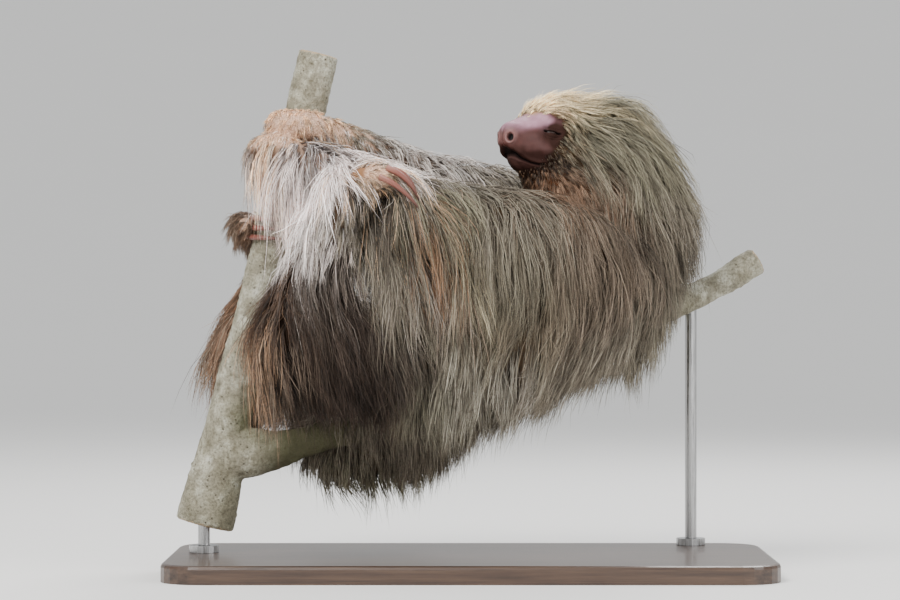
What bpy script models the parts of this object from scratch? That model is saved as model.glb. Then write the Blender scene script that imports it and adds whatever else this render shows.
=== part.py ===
"""A two-toed sloth asleep in a tree fork, life size, on a display stand.

Every solid is the outer surface of the animal out to the tips of its coat.
Sizes are in millimetres and become metres through MM.
Axes: +Z up, +X towards the animal's back, -Y its left side. The origin is under the middle of the base.
"""

import math
import random

import bmesh
import bpy
from mathutils import Matrix, Vector
from mathutils.bvhtree import BVHTree

MM = 0.001
GAP = 0.4  # between neighbouring solids

# Stand and perch
BASE_SIZE = (600, 280, 18)
BASE_CORNER = 40
ROD_RADIUS = 6.0
COLLAR_RADIUS, COLLAR_HEIGHT = 15.0, 7.0
ROD_DEPTH_IN_WOOD = 9.0
TRUNK_FOOT_X = -280  # where the trunk's middle would reach the floor
TRUNK_LEAN = 0.248  # sideways travel for each millimetre up
TRUNK_Y = 20
TRUNK_BOTTOM, TRUNK_TOP = 46, 520
TRUNK_RADIUS, TRUNK_FLARE = 20.0, 9.0
BRANCH_RADIUS, BRANCH_FLARE = 14.0, 13.0
BRANCH_LINE = [(-240, 20, 118), (-205, 19, 120), (-174, 17, 127), (-120, 17, 142), (-42, 32, 162),
               (56, 62, 199), (140, 90, 238), (240, 114, 279), (300, 124, 313)]
BRANCH_ROD_SHARE = 0.86  # how far along the branch its rod stands

# Joints of the limbs, left side towards -Y
SHOULDER = {"left": (112, -58, 325), "right": (118, 48, 340)}
ELBOW = {"left": (-48, -60, 354), "right": (-42, 34, 391)}
WRIST = {"left": (-188, -26, 418), "right": (-160, -16, 445)}
HIP = {"left": (-38, -38, 214), "right": (-70, 62, 192)}
KNEE = {"left": (-170, -78, 236), "right": (-228, 66, 218)}
ANKLE = {"left": (-124, -82, 374), "right": (-204, 62, 316)}

# The spine, from the pelvis to the nape
PELVIS = (-50, 25, 196)
LOIN = (44, 4, 228)
RIBS = (118, -4, 276)
WITHERS = (148, 0, 325)
NAPE = (148, 10, 380)

# The head's own frame: forward, left and up through the middle of the skull
HEAD_CENTRE = (80, -5, 432)
HEAD_YAW, HEAD_ROLL, HEAD_PITCH = 38, 3, 10  # degrees
EYE_PLACE = (17.5, 21, -1)
EYE_RADIUS = 7.5

CLAW_RADIUS = 4.2


def clear_scene():
    for obj in list(bpy.data.objects):
        bpy.data.objects.remove(obj)


def collection(name):
    made = bpy.data.collections.new(name)
    bpy.context.scene.collection.children.link(made)
    return made


def material(name, colour, roughness, metallic=0.0):
    made = bpy.data.materials.new(name)
    made.use_nodes = True
    shader = made.node_tree.nodes["Principled BSDF"]
    shader.inputs["Base Color"].default_value = (*colour, 1)
    shader.inputs["Roughness"].default_value = roughness
    shader.inputs["Metallic"].default_value = metallic
    return made


def trunk_x(height):
    return TRUNK_FOOT_X + TRUNK_LEAN * height


def along(points, share):
    """A point on the smooth curve through points, share running from 0 to 1."""
    place = share * (len(points) - 1)
    i = min(int(place), len(points) - 2)
    t = place - i
    before, start, end, after = (
        Vector(points[max(0, min(len(points) - 1, k))]) for k in (i - 1, i, i + 1, i + 2)
    )
    return 0.5 * (
        2 * start
        + (end - before) * t
        + (2 * before - 5 * start + 4 * end - after) * t * t
        + (3 * start - before - 3 * end + after) * t**3
    )


class Shape:
    """Balls and tapered runs of balls, in millimetres, that are fused into one solid."""

    def __init__(self, seed=1):
        self.mesh = bmesh.new()
        self.random = random.Random(seed)

    def ball(self, centre, radii, turn=None):
        if isinstance(radii, (int, float)):
            radii = (radii,) * 3
        place = Matrix.Translation(Vector(centre) * MM)
        if turn is not None:
            place = place @ turn.to_4x4()
        size = Matrix.Diagonal((*(r * MM for r in radii), 1))
        bmesh.ops.create_icosphere(self.mesh, subdivisions=3, radius=1, matrix=place @ size)
        return self

    def run(self, points, radii, hang=(0, 0), count=12, ragged=0.0, flat=1.0):
        """Balls along points. hang is how far the coat falls below them, from the first to the last."""
        for i in range(count):
            share = i / (count - 1)
            radius = along([(r, 0, 0) for r in radii], share).x
            drop = along([(h, 0, 0) for h in hang], share).x
            drop *= 1 + ragged * self.random.uniform(-1, 1)
            centre = along(points, share) - Vector((0, 0, drop / 2))
            self.ball(centre, (radius, radius * flat, radius + drop / 2))
        return self

    def locks(self, points, length, radius, count, lean=(0, 0)):
        """Tapered hanging locks that make the ragged edge of the coat."""
        for i in range(count):
            share = (i + self.random.uniform(0.1, 0.9)) / count
            fall = length * self.random.uniform(0.6, 1.15)
            root = along(points, share)
            tip = root + Vector((lean[0] * fall, lean[1] * fall, -fall))
            for k in range(6):
                t = k / 5
                self.ball(root.lerp(tip, t), radius * (1 - 0.62 * t))
        return self


def finished(name, source, group, colour):
    """A mesh object for a bmesh, smooth shaded. The bmesh is freed."""
    mesh = bpy.data.meshes.new(name)
    source.to_mesh(mesh)
    source.free()
    obj = bpy.data.objects.new(name, mesh)
    group.objects.link(obj)
    mesh.materials.append(colour)
    mesh.shade_smooth()
    return obj


def applied(obj):
    """Replaces obj's mesh by its evaluated one and drops the modifiers."""
    graph = bpy.context.evaluated_depsgraph_get()
    mesh = bpy.data.meshes.new_from_object(obj.evaluated_get(graph))
    obj.modifiers.clear()
    obj.data = mesh
    return obj


def fused(name, shape, group, colour, triangles, voxel=4.0, rounds=6):
    """One closed solid from overlapping balls, smoothed, with about that many triangles."""
    obj = finished(name, shape.mesh, group, colour)
    remesh = obj.modifiers.new("one skin", "REMESH")
    remesh.mode, remesh.voxel_size = "VOXEL", voxel * MM
    smooth = obj.modifiers.new("soften", "SMOOTH")
    smooth.factor, smooth.iterations = 0.5, rounds
    applied(obj)
    count = sum(len(face.vertices) - 2 for face in obj.data.polygons)
    thin = obj.modifiers.new("facets", "DECIMATE")
    thin.ratio = min(1.0, triangles / count)
    return applied(obj)


def keep_largest(obj):
    """Drops the crumbs that a cut leaves beside the main body."""
    mesh = bmesh.new()
    mesh.from_mesh(obj.data)
    bmesh.ops.remove_doubles(mesh, verts=mesh.verts, dist=0.000002)
    islands, seen = [], set()
    for start in mesh.verts:
        if start in seen:
            continue
        island, todo = set(), [start]
        while todo:
            vert = todo.pop()
            if vert in island:
                continue
            island.add(vert)
            todo += [edge.other_vert(vert) for edge in vert.link_edges]
        seen |= island
        islands.append(island)
    islands.sort(key=len)
    for crumb in islands[:-1]:
        bmesh.ops.delete(mesh, geom=list(crumb), context="VERTS")
    bmesh.ops.triangulate(mesh, faces=mesh.faces)
    mesh.to_mesh(obj.data)
    mesh.free()


def corners(obj):
    points = [obj.matrix_world @ Vector(corner) for corner in obj.bound_box]
    return (
        Vector([min(p[i] for p in points) for i in range(3)]),
        Vector([max(p[i] for p in points) for i in range(3)]),
    )


def near(first, second):
    (low_a, high_a), (low_b, high_b) = corners(first), corners(second)
    return all(low_a[i] < high_b[i] and low_b[i] < high_a[i] for i in range(3))


def add_cutter(whole, proud, cutters):
    """A solid that stands that far proud of a part's uncut mesh, to cut its neighbours with."""
    cutter = bpy.data.objects.new(whole.name + "_cutter", whole.copy())
    cutters.objects.link(cutter)
    cutter.hide_render, cutter.display_type = True, "WIRE"
    grow = cutter.modifiers.new("gap", "DISPLACE")
    grow.strength, grow.mid_level = proud * MM, 0


def cut_away(obj, gaps, cutters):
    """Cuts every mesh in gaps out of obj at once, each with its own gap."""
    for whole, gap in gaps.items():
        add_cutter(whole, gap, cutters)
    cut = obj.modifiers.new("give way", "BOOLEAN")
    cut.operation, cut.operand_type, cut.collection = "DIFFERENCE", "COLLECTION", cutters
    cut.use_self = True
    bpy.context.view_layer.update()
    applied(obj)
    keep_largest(obj)
    for cutter in list(cutters.objects):
        bpy.data.objects.remove(cutter)


def surface(obj):
    mesh = bmesh.new()
    mesh.from_mesh(obj.data)
    tree = BVHTree.FromBMesh(mesh)
    mesh.free()
    return tree


def carve(nodes, cutters):
    """Each node gives way to those before it, so that they meet with a thin cut and never overlap."""
    wholes = {}
    for obj in nodes:
        whole = obj.data.copy()
        gaps = {mesh: GAP for other, mesh in wholes.items() if near(obj, other)}
        for _ in range(3 if gaps else 0):
            obj.data = whole.copy()
            cut_away(obj, gaps, cutters)
            shape = surface(obj)
            touching = [mesh for other, mesh in wholes.items() if mesh in gaps
                        and shape.overlap(surface(other))]
            if not touching:
                break
            gaps.update((mesh, gaps[mesh] + GAP) for mesh in touching)
        wholes[obj] = whole


def curve_solid(name, points, radii, group, colour, sides=2):
    """A tapered round bar along points, as a closed mesh. sides is the curve's bevel resolution."""
    curve = bpy.data.curves.new(name, "CURVE")
    curve.dimensions, curve.use_fill_caps = "3D", True
    curve.bevel_depth, curve.bevel_resolution = MM, sides
    spline = curve.splines.new("POLY")
    spline.points.add(len(points) - 1)
    for point, place, radius in zip(spline.points, points, radii):
        point.co = (*(Vector(place) * MM), 1)
        point.radius = radius
    guide = bpy.data.objects.new(name + "_guide", curve)
    group.objects.link(guide)
    bpy.context.view_layer.update()
    graph = bpy.context.evaluated_depsgraph_get()
    mesh = bpy.data.meshes.new_from_object(guide.evaluated_get(graph))
    bpy.data.objects.remove(guide)
    welded = bmesh.new()
    welded.from_mesh(mesh)
    bmesh.ops.remove_doubles(welded, verts=welded.verts, dist=0.00001)
    bmesh.ops.recalc_face_normals(welded, faces=welded.faces)
    return finished(name, welded, group, colour)


# ---------------------------------------------------------------- stand and perch


def make_stand(group, wood, steel):
    base = bmesh.new()
    bmesh.ops.create_cube(base, size=1, matrix=Matrix.Translation((0, 0, BASE_SIZE[2] * MM / 2))
                          @ Matrix.Diagonal((*(s * MM for s in BASE_SIZE), 1)))
    uprights = [e for e in base.edges if abs(e.verts[0].co.z - e.verts[1].co.z) > 0.001]
    bmesh.ops.bevel(base, geom=uprights, offset=BASE_CORNER * MM, segments=6, profile=0.5,
                     affect="EDGES")
    rim = [e for e in base.edges if min(v.co.z for v in e.verts) > (BASE_SIZE[2] - 1) * MM
           and len(e.link_faces) == 2 and any(abs(f.normal.z) < 0.5 for f in e.link_faces)]
    bmesh.ops.bevel(base, geom=rim, offset=3.5 * MM, segments=2, profile=0.5, affect="EDGES")
    bmesh.ops.triangulate(base, faces=base.faces)
    made = [finished("stand_base", base, group, wood)]
    tops = {"trunk": (trunk_x(TRUNK_BOTTOM) + 1, TRUNK_Y, TRUNK_BOTTOM + ROD_DEPTH_IN_WOOD),
            "branch": branch_foot()}
    for name, (x, y, top) in tops.items():
        bottom = BASE_SIZE[2] + 0.3
        collar = bottom + COLLAR_HEIGHT
        made.append(turned(f"stand_collar_{name}", (x, y), bottom, collar, COLLAR_RADIUS, group, steel))
        made.append(turned(f"stand_rod_{name}", (x, y), collar + 0.3, top, ROD_RADIUS, group, steel))
    return made


def turned(name, place, bottom, top, radius, group, colour):
    bar = bmesh.new()
    middle = Vector((*place, (bottom + top) / 2)) * MM
    bmesh.ops.create_cone(bar, cap_ends=True, segments=16, radius1=radius * MM, radius2=radius * MM,
                          depth=(top - bottom) * MM, matrix=Matrix.Translation(middle))
    return finished(name, bar, group, colour)


def branch_foot():
    """Where the branch's rod meets it: under the bough, clear of the animal."""
    spot = along(BRANCH_LINE, BRANCH_ROD_SHARE)
    return (spot.x, spot.y, spot.z - 5)


def make_perch(group, bark):
    steps = 9
    heights = [TRUNK_BOTTOM + (TRUNK_TOP - TRUNK_BOTTOM) * i / steps for i in range(steps + 1)]
    trunk = [(trunk_x(h) + 1.2 * math.sin(h / 47), TRUNK_Y + 1.5 * math.sin(h / 61), h) for h in heights]
    girth = [TRUNK_RADIUS + TRUNK_FLARE * math.exp(-((h - 60) / 75) ** 2) + 0.7 * math.sin(h / 23)
             for h in heights]
    made = [curve_solid("perch_trunk", trunk, girth, group, bark, sides=2)]
    count = 14
    shares = [i / count for i in range(count + 1)]
    bough = [along(BRANCH_LINE, s) for s in shares]
    thick = [BRANCH_RADIUS + BRANCH_FLARE * math.exp(-((s * 5.5) ** 2)) + 0.5 * math.sin(s * 40)
             for s in shares]
    made.append(curve_solid("perch_branch", bough, thick, group, bark, sides=2))
    return made


# ---------------------------------------------------------------- head


def head_turn():
    """Columns are the head's forward, left and up directions."""
    yaw = Matrix.Rotation(math.radians(180 + HEAD_YAW), 3, "Z")
    pitch = Matrix.Rotation(math.radians(-HEAD_PITCH), 3, "Y")
    roll = Matrix.Rotation(math.radians(HEAD_ROLL), 3, "X")
    return yaw @ pitch @ roll


def in_head(place):
    return Vector(HEAD_CENTRE) + head_turn() @ Vector(place)


def make_head(group, coat, skin, lid):
    turn = head_turn()
    eyes = []
    for side, sign in (("left", 1), ("right", -1)):
        x, y, z = EYE_PLACE
        eye = Shape().ball(in_head((x, sign * y, z)), EYE_RADIUS)
        eyes.append(fused(f"eye_{side}", eye, group, lid, 100, voxel=1.0, rounds=2))
    jaw = Shape()
    jaw.run([in_head((6, 0, -29)), in_head((27, 0, -33)), in_head((43, 0, -30.5))], [15, 11.5, 9])
    for sign in (1, -1):
        jaw.run([in_head((2, 15 * sign, -27)), in_head((38, 6 * sign, -31))], [11, 8], count=8)
    face = Shape()
    face.run([in_head((8, 0, -3)), in_head((27, 0, -5.5)), in_head((43, 0, -8)), in_head((50, 0, -8))],
             [28, 24, 20, 16], count=14)
    for sign in (1, -1):
        face.run([in_head((10, 13 * sign, -11)), in_head((46, 8 * sign, -16))], [16.5, 11.5], count=9)
    face.ball(in_head((54, 0, -6)), (9, 14.5, 13), turn)
    cranium = Shape()
    cranium.ball(in_head((-8, 0, 3)), (50, 44, 43), turn)
    cranium.ball(in_head((10, 0, 12)), (34, 33, 28), turn)
    for sign in (1, -1):
        cranium.run([in_head((-16, 24 * sign, -8)), in_head((2, 22 * sign, -22))], [26, 18], count=6)
    cranium.run([(108, 4, 440), (140, 9, 430)], [48, 48], count=5)
    return eyes + [
        fused("jaw", jaw, group, skin, 110, voxel=2.0, rounds=4),
        fused("muzzle", face, group, skin, 200, voxel=2.0, rounds=4),
        fused("head", cranium, group, coat, 190, voxel=3.0),
    ]


# ---------------------------------------------------------------- hands, feet and claws


def claw(name, points, group, horn, radius=CLAW_RADIUS):
    """A curved tapering claw, blunt at the tip."""
    count = 7
    shares = [i / (count - 1) for i in range(count)]
    path = [along(points, s) for s in shares]
    width = [radius * (1 - 0.78 * s**1.7) for s in shares]
    return curve_solid(name, path, width, group, horn, sides=1)


def round_trunk(angle, height, reach):
    """A point at that reach from the trunk's middle. Angle 0 is behind it, 90 towards its left edge."""
    turn = math.radians(angle)
    return (trunk_x(height) - reach * math.sin(turn), TRUNK_Y + reach * math.cos(turn), height)


def gripping_claws(name, height, rise, start, end, count, group, horn):
    """Claws that go round the trunk, one above the other."""
    made = []
    reach = TRUNK_RADIUS + CLAW_RADIUS + 1.6
    for i in range(count):
        level = height + (i - (count - 1) / 2) * 9.4
        angles = [start + (end - start) * k / 5 for k in range(6)]
        path = [round_trunk(a, level + rise * k / 5, reach) for k, a in enumerate(angles)]
        made.append(claw(f"{name}_{i + 1}", path, group, horn))
    return made


# Each palm's way round the trunk: angle, reach and radius, from the wrist to the fingertips
PALM_WAY = {"left": [(150, 41, 19), (116, 37, 16), (84, 33, 11)],
            "right": [(152, 34, 15), (112, 27, 12), (80, 26, 9)]}
HAND_HEIGHT = {"left": 420, "right": 448}


def make_hands(group, fur, horn):
    made = []
    for side in ("left", "right"):
        height = HAND_HEIGHT[side]
        made += gripping_claws(f"claw_hand_{side}", height, -4, 86, -62, 2, group, horn)
        way = [round_trunk(angle, height, reach) for angle, reach, _ in PALM_WAY[side]]
        widths = [radius for _, _, radius in PALM_WAY[side]]
        palm = Shape().run([WRIST[side], *way], [widths[0] + 2, *widths], count=14)
        above = [Vector(p) + Vector((0, 0, 4)) for p in (WRIST[side], *way)]
        palm.run(above, [widths[0], *(w - 1 for w in widths)], count=12)
        made.append(fused(f"hand_{side}", palm, group, fur, 100, voxel=2.5))
    return made


LEFT_FOOT = [(-124, -82, 374), (-105, -89, 389), (-88, -93, 392), (-75, -94, 389)]
LEFT_FOOT_CLAWS = [
    [(-88, -103, 391), (-73, -107, 383), (-59, -106, 371), (-49, -102, 359)],
    [(-81, -100, 400), (-67, -103, 392), (-56, -101, 380), (-50, -97, 368)],
    [(-76, -89, 399), (-64, -90, 393), (-55, -87, 381), (-50, -84, 370)],
]


def make_feet(group, fur, horn):
    made = gripping_claws("claw_foot_right", 345, -3, 96, 226, 3, group, horn)
    for i, path in enumerate(LEFT_FOOT_CLAWS):
        made.append(claw(f"claw_foot_left_{i + 1}", path, group, horn, CLAW_RADIUS * (0.92 - 0.05 * i)))
    sole = Shape().run(LEFT_FOOT, [17, 17, 14.5, 9], count=12)
    sole.run([(-114, -82, 386), (-92, -90, 397), (-76, -92, 400)], [13, 13, 8.5], count=8)
    made.append(fused("foot_left", sole, group, fur, 130, voxel=2.5))
    grip = Shape().run([ANKLE["right"], round_trunk(22, 338, 40), round_trunk(62, 345, 36),
                        round_trunk(104, 346, 31)], [20, 18, 15.5, 10], count=14)
    made.append(fused("foot_right", grip, group, fur, 110, voxel=2.5))
    return made


# ---------------------------------------------------------------- limbs


def make_limbs(group, coat):
    shin = Shape(3).run([KNEE["left"], ANKLE["left"]], [36, 20], count=12)
    thigh = Shape(4).run([HIP["left"], KNEE["left"]], [52, 40], [28, 50], count=12, ragged=0.3)
    thigh.locks([(-196, -74, 206), (-150, -72, 190), (-96, -60, 184)], 76, 19, 5, lean=(0.2, 0))
    forearm = Shape(5).run([ELBOW["left"], (-124, -48, 384), WRIST["left"]], [34, 28, 23],
                           [96, 120, 92, 50], count=15, ragged=0.2, flat=0.9)
    forearm.locks([(-196, -30, 366), (-150, -50, 330), (-96, -66, 306)], 90, 17, 5, lean=(0.2, -0.1))
    upper_arm = Shape(6).run([SHOULDER["left"], (30, -66, 342), ELBOW["left"]], [50, 43, 34],
                             [60, 70, 84], count=12, ragged=0.25)
    far_forearm = Shape(7).run([ELBOW["right"], (-100, 8, 419), WRIST["right"]], [28, 23, 18],
                               [34, 18, 4], count=14, ragged=0.2)
    far_upper = Shape(8).run([SHOULDER["right"], ELBOW["right"]], [46, 25], [64, 46], count=12, ragged=0.15)
    far_shin = Shape(9).run([KNEE["right"], ANKLE["right"]], [38, 21], [10, 14], count=12)
    far_thigh = Shape(10).run([HIP["right"], KNEE["right"]], [50, 37], [40, 24], count=12, ragged=0.2)
    parts = (("shin_left", shin, 110), ("forearm_left", forearm, 250), ("thigh_left", thigh, 210),
             ("upper_arm_left", upper_arm, 170), ("forearm_right", far_forearm, 110),
             ("upper_arm_right", far_upper, 150), ("shin_right", far_shin, 90),
             ("thigh_right", far_thigh, 110))
    return [fused(name, shape, group, coat, count) for name, shape, count in parts]


# ---------------------------------------------------------------- trunk of the body


def make_body(group, coat):
    neck = Shape(11).ball(NAPE, (70, 66, 60)).ball((152, 12, 398), (73, 66, 78))
    neck.run([(77, -20, 374), (108, -14, 368)], [36, 50], count=5)
    neck.run([(172, -22, 350), (176, 10, 346), (168, 44, 350)], [44, 44], count=6)
    chest = Shape(12).ball(WITHERS, (76, 90, 74)).ball(RIBS, (92, 92, 78))
    chest.ball((162, 0, 302), (60, 84, 76)).ball((98, -28, 330), (62, 64, 56))
    chest.locks([(126, -72, 252), (160, -56, 262), (190, -20, 266), (198, 30, 276)], 62, 19, 8)
    chest.locks([(206, -30, 316), (208, 10, 322), (200, 44, 316)], 70, 19, 5)
    chest.run([(166, -30, 250), (166, -32, 200), (167, -33, 158)], [24, 16, 7], count=9)
    abdomen = Shape(13).run([PELVIS, LOIN, RIBS], [66, 78, 82], [46, 16, 0], count=9, ragged=0.2)
    abdomen.ball((-122, 62, 118), (54, 38, 44)).ball((-70, 58, 132), (62, 46, 56))
    abdomen.ball((-128, 58, 150), (50, 34, 44))
    abdomen.locks([(-150, 62, 106), (-118, 70, 98), (-80, 68, 100)], 44, 21, 6)
    abdomen.locks([(-48, -30, 166), (-12, -44, 168), (20, -44, 180)], 60, 21, 5)
    abdomen.locks([(56, -66, 206), (110, -64, 236)], 54, 21, 4)
    abdomen.locks([(24, 66, 190), (96, 74, 226)], 46, 20, 4)
    parts = (("neck", neck, 190), ("chest", chest, 280), ("abdomen", abdomen, 400))
    return [fused(name, shape, group, coat, count, voxel=5.0) for name, shape, count in parts]


def build():
    clear_scene()
    group, cutters = collection("resting_sloth"), collection("cutters")
    wood = material("stand_wood", (0.055, 0.033, 0.022), 0.35)
    steel = material("stand_steel", (0.42, 0.42, 0.43), 0.32, 1.0)
    bark = material("bark", (0.46, 0.44, 0.36), 0.85)
    coat = material("coat", (0.24, 0.20, 0.155), 0.75)
    short_fur = material("short_fur", (0.46, 0.33, 0.25), 0.7)
    face_skin = material("face_skin", (0.27, 0.14, 0.13), 0.45)
    lid = material("eyelid", (0.10, 0.05, 0.045), 0.4)
    horn = material("claw_horn", (0.46, 0.22, 0.17), 0.35)
    stand = make_stand(group, wood, steel)
    perch = make_perch(group, bark)
    feet = make_feet(group, short_fur, horn)
    hands = make_hands(group, short_fur, horn)
    head = make_head(group, coat, face_skin, lid)
    limbs = make_limbs(group, coat)
    body = make_body(group, coat)
    carve(stand + perch + feet + hands + head + limbs + body, cutters)


build()
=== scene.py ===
import math

import bmesh
import bpy
import numpy as np
from mathutils import Matrix, Vector
from mathutils.bvhtree import BVHTree


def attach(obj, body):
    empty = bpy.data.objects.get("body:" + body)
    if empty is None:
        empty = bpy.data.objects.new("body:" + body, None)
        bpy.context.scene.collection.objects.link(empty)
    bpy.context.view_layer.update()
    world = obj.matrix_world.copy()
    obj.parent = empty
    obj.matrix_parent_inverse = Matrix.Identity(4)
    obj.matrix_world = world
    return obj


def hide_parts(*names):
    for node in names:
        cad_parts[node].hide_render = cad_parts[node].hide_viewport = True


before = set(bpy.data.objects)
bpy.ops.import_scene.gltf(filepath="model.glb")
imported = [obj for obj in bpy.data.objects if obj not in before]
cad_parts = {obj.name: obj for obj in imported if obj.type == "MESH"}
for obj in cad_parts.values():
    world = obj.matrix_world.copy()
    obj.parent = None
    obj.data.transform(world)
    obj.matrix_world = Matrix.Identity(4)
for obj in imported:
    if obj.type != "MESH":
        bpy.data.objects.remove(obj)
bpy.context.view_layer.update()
scene = bpy.context.scene
mm = 0.001
rng = np.random.default_rng(7)

# joints of the skeleton in millimetres, the left side towards -Y
joints = {
    "pelvis": (-52, 20, 200), "loin": (44, 4, 228), "ribs": (116, -4, 278), "withers": (144, 0, 325),
    "shoulderLeft": (106, -52, 322), "elbowLeft": (-48, -60, 352), "wristLeft": (-186, -26, 416),
    "shoulderRight": (112, 42, 336), "elbowRight": (-42, 34, 390), "wristRight": (-160, -16, 445),
    "hipLeft": (-38, -36, 214), "kneeLeft": (-168, -76, 236), "ankleLeft": (-124, -82, 374),
    "hipRight": (-70, 58, 192), "kneeRight": (-226, 64, 218), "ankleRight": (-204, 62, 316),
}
trunkLine = {"footX": -280, "lean": 0.248, "y": 20, "bottom": 46, "top": 520, "radius": 20.0, "flare": 9.0}
headSet = {"centre": (80, -5, 432), "yaw": 38, "roll": 3, "pitch": 10}


def trunkX(height):
    return trunkLine["footX"] + trunkLine["lean"] * height


def aroundTrunk(angle, height, reach):
    # angle 0 is behind the trunk, 90 its left edge, 180 its front
    turn = math.radians(angle)
    return (trunkX(height) - reach * math.sin(turn), trunkLine["y"] + reach * math.cos(turn), height)


def smoothStep(low, high, value):
    t = np.clip((value - low) / (high - low), 0, 1)
    return t * t * (3 - 2 * t)


def alongCurve(points, share):
    # a smooth curve through the points, share running from 0 to 1
    points = [np.array(p, float) for p in points]
    place = share * (len(points) - 1)
    i = min(int(place), len(points) - 2)
    t = place - i
    a, b, c, d = (points[max(0, min(len(points) - 1, k))] for k in (i - 1, i, i + 1, i + 2))
    return 0.5 * (2 * b + (c - a) * t + (2 * a - 5 * b + 4 * c - d) * t * t + (3 * b - a - 3 * c + d) * t**3)


def headMatrix():
    yaw = Matrix.Rotation(math.radians(180 + headSet["yaw"]), 3, "Z")
    pitch = Matrix.Rotation(math.radians(-headSet["pitch"]), 3, "Y")
    roll = Matrix.Rotation(math.radians(headSet["roll"]), 3, "X")
    return yaw @ pitch @ roll


headTurn = headMatrix()
headAxes = np.array(headTurn)


def fromHead(place):
    # the head's own frame: forward, left, up, in millimetres
    return tuple(Vector(headSet["centre"]) + headTurn @ Vector(place))


def toHead(points):
    return (points - np.array(headSet["centre"])) @ headAxes


def newObject(name, mesh, material=None):
    obj = bpy.data.objects.new(name, mesh)
    scene.collection.objects.link(obj)
    if material:
        mesh.materials.append(material)
    return obj


def declare(obj, slot, *nodes):
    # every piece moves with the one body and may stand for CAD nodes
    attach(obj, "root")
    if nodes:
        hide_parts(*nodes)
    return obj


def meshFrom(source, name):
    mesh = bpy.data.meshes.new(name)
    source.to_mesh(mesh)
    source.free()
    return mesh


def joinRows(mesh, rows, closed=True):
    # quads between rings of points, with a face over each end
    sides = len(rows[0])
    for low, high in zip(rows, rows[1:]):
        for k in range(sides):
            after = (k + 1) % sides
            mesh.faces.new((low[k], low[after], high[after], high[k]))
    if closed:
        mesh.faces.new(list(reversed(rows[0])))
        mesh.faces.new(rows[-1])


def fuse(obj, voxel, rounds):
    # melts overlapping parts into one closed skin and softens it
    remesh = obj.modifiers.new("remesh", "REMESH")
    remesh.mode, remesh.voxel_size = "VOXEL", voxel * mm
    smooth = obj.modifiers.new("smooth", "SMOOTH")
    smooth.factor, smooth.iterations = 0.5, rounds
    applyModifiers(obj)


def applyModifiers(obj):
    graph = bpy.context.evaluated_depsgraph_get()
    mesh = bpy.data.meshes.new_from_object(obj.evaluated_get(graph))
    obj.modifiers.clear()
    obj.data = mesh


def meshPoints(mesh):
    flat = np.empty(len(mesh.vertices) * 3)
    mesh.vertices.foreach_get("co", flat)
    return flat.reshape(-1, 3) / mm


def setPoints(mesh, points):
    mesh.vertices.foreach_set("co", (points * mm).ravel())
    mesh.update()


def meshNormals(mesh):
    flat = np.empty(len(mesh.vertices) * 3)
    mesh.vertex_normals.foreach_get("vector", flat)
    return flat.reshape(-1, 3)


def storeColour(mesh, name, columns):
    # up to three masks as the red, green and blue of one point attribute
    layer = mesh.attributes.new(name, "FLOAT_COLOR", "POINT")
    data = np.ones((len(mesh.vertices), 4))
    for i, column in enumerate(columns):
        data[:, i] = column
    layer.data.foreach_set("color", data.ravel())


def waves(points, scale, seed):
    # cheap smooth noise between about -1 and 1, a sum of crossed waves
    local = np.random.default_rng(seed)
    total = np.zeros(len(points))
    for _ in range(5):
        direction = local.normal(size=3)
        direction /= np.linalg.norm(direction)
        total += np.sin(points @ direction / scale * local.uniform(0.6, 1.6) * 2 + local.uniform(0, 6.28))
    return total / 3


# the coat's tints, laid over each other in this order; the dark tint also paints a few shadows and the pale
# tint one highlight
coatColours = {
    "Base": (0.265, 0.231, 0.178), "Silver": (1.42, 1.32, 1.31), "Rust": (0.29, 0.132, 0.064),
    "Dark": (0.040, 0.025, 0.018), "Pale": (1.42, 1.18, 0.76), "Olive": (0.26, 0.25, 0.155),
    "Tan": (1.10, 0.72, 0.44),
}


def newMaterial(name, roughness=0.5, **sockets):
    material = bpy.data.materials.new(name)
    material.use_nodes = True
    shader = material.node_tree.nodes["Principled BSDF"]
    shader.inputs["Roughness"].default_value = roughness
    for socket, value in sockets.items():
        shader.inputs[socket.replace("_", " ")].default_value = value
    return material, material.node_tree, shader


def addNode(tree, kind, place=(0, 0), **settings):
    node = tree.nodes.new(kind)
    node.location = place
    for key, value in settings.items():
        setattr(node, key, value)
    return node


def attributeNode(tree, name, place=(0, 0)):
    return addNode(tree, "ShaderNodeAttribute", place, attribute_name=name)


def maskNodes(tree, name, place=(0, 0)):
    # the three masks that a colour attribute carries
    split = addNode(tree, "ShaderNodeSeparateColor", place)
    tree.links.new(attributeNode(tree, name, (place[0] - 200, place[1])).outputs["Color"], split.inputs[0])
    return split.outputs


def objectPlace(tree, place=(0, 0)):
    return addNode(tree, "ShaderNodeTexCoord", place).outputs["Object"]


def mathNode(tree, operation, first, second, place=(0, 0), clamp=False):
    node = addNode(tree, "ShaderNodeMath", place, operation=operation, use_clamp=clamp)
    for socket, value in zip(node.inputs, (first, second)):
        if isinstance(value, (int, float)):
            socket.default_value = value
        else:
            tree.links.new(value, socket)
    return node.outputs[0]


def mixNode(tree, factor, first, second, place=(0, 0), blend="MIX"):
    node = addNode(tree, "ShaderNodeMix", place, data_type="RGBA", blend_type=blend)
    for socket, value in zip((node.inputs[0], node.inputs[6], node.inputs[7]), (factor, first, second)):
        if isinstance(value, (int, float)):
            socket.default_value = value
        elif isinstance(value, tuple):
            socket.default_value = (*value, 1)
        else:
            tree.links.new(value, socket)
    return node.outputs[2]


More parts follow.
